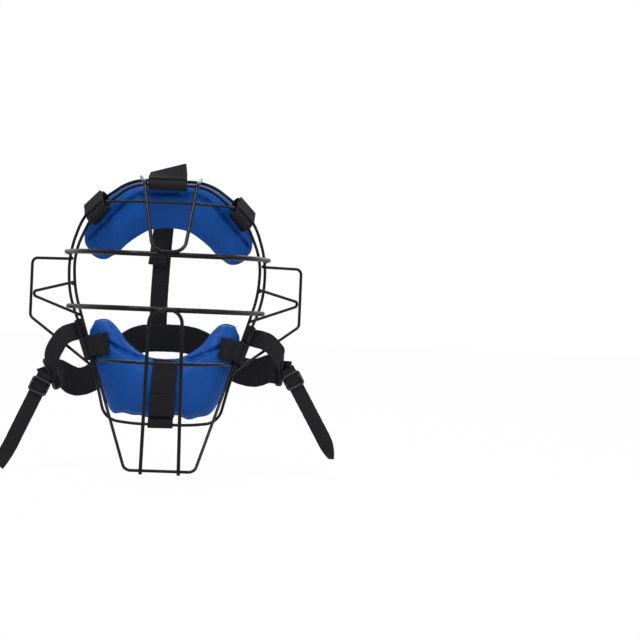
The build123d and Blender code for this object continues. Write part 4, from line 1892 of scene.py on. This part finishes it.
    def web(self, side: str) -> None:
        """The web from the rim loop to the ring, and its sewn box.

        Args:
            side: Left or right.
        """
        sign = SIDES[side]
        rim, rim_way, out, depth = self.rim_frame()
        middle, way, up, _ = self.ring_frame(side)
        back = depth if depth.y > 0 else -depth
        stand = self.web_bore / 2 + self.straps.thickness + self.web_thickness / 2
        lead = self.straps.mirrored([rim + back * stand + out * shift for shift in (-0.002, 0.002)], side)
        start = rim + out * (self.web_bore / 2 + self.straps.thickness * 2 + self.gap)
        start = Vector((sign * start.x, start.y, start.z))
        end = middle - way * (self.ring_depth / 2 + self.web_stand)
        run = end - start
        shares = [(0.28, 0.04, 0.08), (0.54, 0.16, 0.24), (0.8, 0.5, 0.58)]
        bend = self.round_bar(side, -1, self.web_thickness, self.web_fold)
        stops = [start + Vector((run.x * x, run.y * y, run.z * z)) for x, y, z in shares]
        line = through([*lead, *stops, bend[0]], 60)
        line = evenly([*line, *bend[1:]], 90)
        first = Vector((-sign * rim_way.x, -rim_way.y, -rim_way.z))
        last = Vector((-sign * run.z, 0, sign * run.x)).normalized().lerp(up, 0.5).normalized()
        across = []
        for k, place in enumerate(line):
            near = self.nearness(place, middle, 1.3, 0.02)
            across.append(first.lerp(last, min(1.0, k / self.web_turn_points)).lerp(up, near))
        ribbon = Ribbon(f"{side}_side_webbing", line, across, self.web_width, self.web_thickness,
                        ripple=0.0003, columns=16, seed=8 + sign)
        piece = ribbon.make(self.finishes.webbing)
        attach(piece, "root")
        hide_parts(f"{side}_side_web")
        box = self.stitch_box(ribbon, 0.06, 0.22, 1.0)
        sewn = self.stitches.sew(f"{side}_web_stitches", box, pitch=0.0024)
        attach(sewn, "root")

    def rounded_frame(self, length: float, width: float, corner: float, steps: int = 8) -> list[tuple]:
        """The outline of a rectangle with round corners, anticlockwise.

        Args:
            length: Its length along x.
            width: Its width along y.
            corner: The radius of its corners.
            steps: How many steps a corner has.

        Returns:
            The places of its points.
        """
        points = []
        for cx, cy, start in ((1, 1, 0), (-1, 1, 90), (-1, -1, 180), (1, -1, 270)):
            for k in range(steps + 1):
                a = math.radians(start + 90 * k / steps)
                points.append((cx * (length / 2 - corner) + corner * math.cos(a),
                               cy * (width / 2 - corner) + corner * math.sin(a)))
        return points

    def hoop(self, name: str, line: list[Vector], ways: list[Vector], radii: tuple[float, float],
             material: bpy.types.Material) -> bpy.types.Object:
        """A closed hoop of oval section.

        Args:
            name: The object's name.
            line: The middle line, closed.
            ways: The direction of the section's first radius at each point.
            radii: The section's two radii.
            material: Its finish.

        Returns:
            The hoop's object.
        """
        array = np.array([tuple(p) for p in line])
        run = np.roll(array, -1, axis=0) - np.roll(array, 1, axis=0)
        run /= np.linalg.norm(run, axis=1)[:, None]
        ring, curve, points = 12, 0.7, []
        for place, along, way in zip(array, run, ways):
            first = np.array(way) - along * np.dot(way, along)
            first /= np.linalg.norm(first)
            second = np.cross(along, first)
            for j in range(ring):
                a = math.tau * j / ring
                across = first * radii[0] * squared(math.cos(a), curve)
                points.append(tuple(place + across + second * radii[1] * squared(math.sin(a), curve)))
        return smooth(shell(name, points, swept_faces(len(line), ring, closed=True), material))

    def ring(self, side: str) -> None:
        """The plastic ring that joins a web, the band and a tail.

        Args:
            side: Left or right.
        """
        middle, way, up, normal = self.ring_frame(side)
        length, depth = self.ring_length - self.ring_wire, self.ring_depth - self.ring_wire
        line = [middle + up * x + way * y for x, y in self.rounded_frame(length, depth, self.ring_corner)]
        radii = (self.ring_wire / 2, self.ring_wire / 2)
        piece = self.hoop(f"{side}_slot_ring", line, [normal] * len(line), radii, self.finishes.plastic)
        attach(piece, "root")
        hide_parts(f"{side}_band_ring")

    def tail_joint(self, side: str) -> tuple[Vector, Vector, Vector, Vector]:
        """A tail's hinge, and the ways across the tail, down it and out of its front face.

        Args:
            side: Left or right.

        Returns:
            The hinge's place and the three ways.
        """
        joints = {joint["name"]: joint for joint in frame["joints"]}
        swing, slide = joints[f"{side}_tail_swing"], joints[f"{side}_slider_slide"]
        across, down = Vector(swing["axis"]).normalized(), Vector(slide["axis"]).normalized()
        forward = across.cross(down)
        return Vector(swing["pos_m"]), across, down, -forward if forward.y > 0 else forward

    def tail(self, side: str) -> None:
        """The free end of a web, which hangs from the ring.

        Args:
            side: Left or right.
        """
        top, across, down, forward = self.tail_joint(side)
        line = [top - down * back - forward * depth for back, depth in self.tail_fold]
        ways = [across, across]
        tip_turn = math.radians(RINGS[side].tail_turn)
        for k in range(self.tail_points):
            share = k / (self.tail_points - 1)
            loose = max(0.0, share - self.tail_stiff)
            sway = self.tail_sway * loose**1.5 * math.sin(share * math.pi * 1.3)
            depth = self.tail_wave * math.sin(share * 7) * min(1.0, loose * 6)
            line.append(top + down * (self.tail_length * share) + across * sway + forward * depth)
            turn = tip_turn * max(0.0, (share - self.turn_start) / (1 - self.turn_start)) ** 1.5
            ways.append(across * math.cos(turn) + forward * math.sin(turn))
        ribbon = Ribbon(f"{side}_tail_webbing", line, ways, self.tail_width + self.gap, self.web_thickness,
                        ripple=0.00025, columns=14, seed=12)
        piece = ribbon.make(self.finishes.webbing)
        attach(piece, f"{side}_tail")
        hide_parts(f"{side}_tail")
        rows = ribbon.rows((0.95, 0.97))
        sewn = self.stitches.sew(f"{side}_tail_stitches", rows, pitch=0.0022, radius=0.0003)
        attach(sewn, f"{side}_tail")

    def slider(self, side: str) -> None:
        """The slider on a tail: an oval frame in front and a bar behind.

        Args:
            side: Left or right.
        """
        top, across, down, forward = self.tail_joint(side)
        centre = top + down * self.slider_place
        half = self.tail_width / 2 + self.slider_gap + self.slider_wall / 2
        lift = self.web_thickness / 2 + self.slider_gap + self.slider_wall / 2
        outline = self.rounded_frame(2 * half, self.slider_length - self.slider_wall, self.slider_corner)
        reach = self.slider_length / 2 - self.slider_wall / 2
        line = []
        for x, y in outline:
            rise = lift * min(1.0, max(0.0, (abs(y) / reach - self.hoop_flat) / self.hoop_rise))
            line.append(centre + across * x + down * y + forward * rise)
        radii = (self.slider_wall * 0.5, self.slider_wall * self.hoop_width)
        hoop = self.hoop(f"{side}_slider_hoop", line, [forward] * len(line), radii, self.finishes.plastic)
        bar_line = []
        for k in range(21):
            x = -half + 2 * half * k / 20
            dip = -lift * min(1.0, (1 - abs(x) / half) / self.bar_ends)
            bar_line.append(centre + across * x + forward * dip)
        bar = tube(f"{side}_slider_bar", bar_line, self.slider_wall * 0.5, self.finishes.plastic)
        piece = join(f"{side}_tri_slider", [hoop, bar])
        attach(piece, f"{side}_slider")
        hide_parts(f"{side}_slider")

    def build(self) -> None:
        """Builds the whole harness."""
        self.band()
        self.crown()
        for side in SIDES:
            self.side(side)
        log.info("harness: band, crown strap, webs, rings, tails and sliders")


# The studio


@dataclass(frozen=True)
class Studio:
    """A plain pale studio, with the camera where the photograph was taken."""

    distance: float = 1.2
    frame_width: float = 0.64
    pixels: int = 640
    origin_pixel: tuple[float, float] = (166.0, 310.0)
    roll: float = 2.4
    shift: float = 0.12
    surround: float = 0.40
    floor_drop: float = 0.0015
    floor_side: float = 6.0
    floor_glow: float = 0.98
    floor_tones: tuple[float, float] = (0.80, 0.84)
    lamps: tuple[tuple[str, tuple[float, float, float], float, float], ...] = (
        ("key_lamp", (-0.3, -0.9, 1.7), 0.5, 24.0),
        ("fill_lamp", (1.2, -1.0, 0.6), 0.6, 5.0),
        ("back_lamp", (0.2, 1.2, 1.0), 1.0, 6.0),
    )

    def camera(self) -> None:
        """Puts the camera level in front of the guard, turned so that the guard lies left of centre."""
        data = bpy.data.cameras.new("camera")
        data.sensor_width = 36.0
        data.lens = data.sensor_width * self.distance / self.frame_width
        camera = put("camera", data)
        focal = self.pixels * self.distance / self.frame_width
        data.shift_x = self.shift
        aside = self.origin_pixel[0] - self.pixels / 2 + self.shift * self.pixels
        above = self.pixels / 2 - self.origin_pixel[1]
        level = Matrix.Rotation(math.radians(90), 3, "X")
        seen = (level @ Vector((aside, above, -focal))).normalized()
        ahead = Vector((0, 1, 0))
        turned = seen.rotation_difference(ahead).to_matrix() @ level
        rolled = Matrix.Rotation(math.radians(-self.roll), 3, "Y") @ turned
        camera.matrix_world = Matrix.Translation((0, -self.distance, 0)) @ rolled.to_4x4()
        bpy.context.scene.camera = camera

    def lamp(self, name: str, place: tuple[float, float, float], size: float, watts: float) -> None:
        """A soft square lamp, turned to the middle of the guard.

        Args:
            name: The lamp's name.
            place: Where it hangs.
            size: The length of its side.
            watts: How bright it is.
        """
        data = bpy.data.lights.new(name, "AREA")
        data.size, data.energy = size, watts
        lamp = put(name, data)
        lamp.location = place
        lamp.rotation_mode = "QUATERNION"
        lamp.rotation_quaternion = (-Vector(place)).to_track_quat("-Z", "Y")

    def world(self) -> None:
        """A white surround for the camera and reflections, and a grey one for the light."""
        world = bpy.data.worlds.new("surround")
        world.use_nodes = True
        bpy.context.scene.world = world
        tree = world.node_tree
        background = tree.nodes["Background"]
        background.inputs["Color"].default_value = (1.0, 1.0, 1.0, 1.0)
        path = add_node(tree, "ShaderNodeLightPath")
        either = path.outputs["Is Camera Ray"]
        for name in ("Is Glossy Ray", "Is Transmission Ray"):
            rays = {0: either, 1: path.outputs[name]}
            either = add_node(tree, "ShaderNodeMath", {"operation": "MAXIMUM"}, rays).outputs[0]
        strengths = {0: either, 2: self.surround, 3: 1.0}
        mix = add_node(tree, "ShaderNodeMix", {"data_type": "FLOAT"}, strengths)
        tree.links.new(mix.outputs[0], background.inputs["Strength"])

    def floor(self) -> None:
        """A pale floor just under the guard, which keeps a faint shadow."""
        low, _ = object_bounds()
        mesh = bpy.data.meshes.new("floor")
        side, z = self.floor_side, low.z - self.floor_drop
        corners = [(x * side, y * side, z) for x, y in ((-1, -1), (1, -1), (1, 1), (-1, 1))]
        mesh.from_pydata(corners, [], [(0, 1, 2, 3)])
        shader = Shader("pale_floor")
        tree = shader.tree
        grain = shader.noise(40.0, detail=3.0)
        dark, light = ((tone, tone, tone) for tone in self.floor_tones)
        shader.set(Base_Color=shader.blend(grain, dark, light), Roughness=0.9, Specular_IOR_Level=0.1)
        glow = add_node(tree, "ShaderNodeEmission")
        share = shader.node("ShaderNodeLightPath", output="Is Camera Ray") * self.floor_glow
        parts = {0: share, 1: shader.main.outputs[0], 2: glow.outputs[0]}
        mix = add_node(tree, "ShaderNodeMixShader", inputs=parts)
        out = next(n for n in tree.nodes if n.type == "OUTPUT_MATERIAL")
        tree.links.new(mix.outputs[0], out.inputs["Surface"])
        put("floor", mesh, shader.material)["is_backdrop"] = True

    def build(self) -> None:
        """Builds the studio round the finished guard."""
        bpy.context.scene.view_settings.view_transform = "Standard"
        self.camera()
        self.world()
        for lamp in self.lamps:
            self.lamp(*lamp)
        self.floor()
        log.info("studio: camera, surround, lamps and floor")


def make_finishes() -> Finishes:
    """Makes every finish once.

    Returns:
        The finishes.
    """
    return Finishes(
        wire=CoatedWire("coated_wire").make(),
        vinyl=PadVinyl("pad_vinyl").make(),
        fleece=FleeceTape("fleece_tape").make(),
        webbing=WovenStrap("webbing", Weave.WEBBING, 0.019).make(),
        elastic=WovenStrap("elastic", Weave.ELASTIC, 0.030).make(),
        plastic=MouldedPlastic("moulded_plastic").make(),
        thread=Thread("dark_thread").make(),
    )


def main() -> None:
    """Builds the guard's looks in order."""
    logging.basicConfig(level=logging.INFO, format="%(message)s")
    finishes = make_finishes()
    stitches = StitchBox(finishes)
    cage = Cage()
    cage.dress(finishes)
    straps = PadStraps(cage, finishes, stitches)
    for pad in (FOREHEAD_PAD, CHIN_PAD):
        pad.front = cage.rim_front + cage.rim_wire / 2 + straps.fit + straps.thickness + straps.gap
        pad.build(finishes)
    straps.build()
    Harness(cage, straps, finishes, stitches).build()
    Studio().build()


if __name__ == "__main__":
    main()
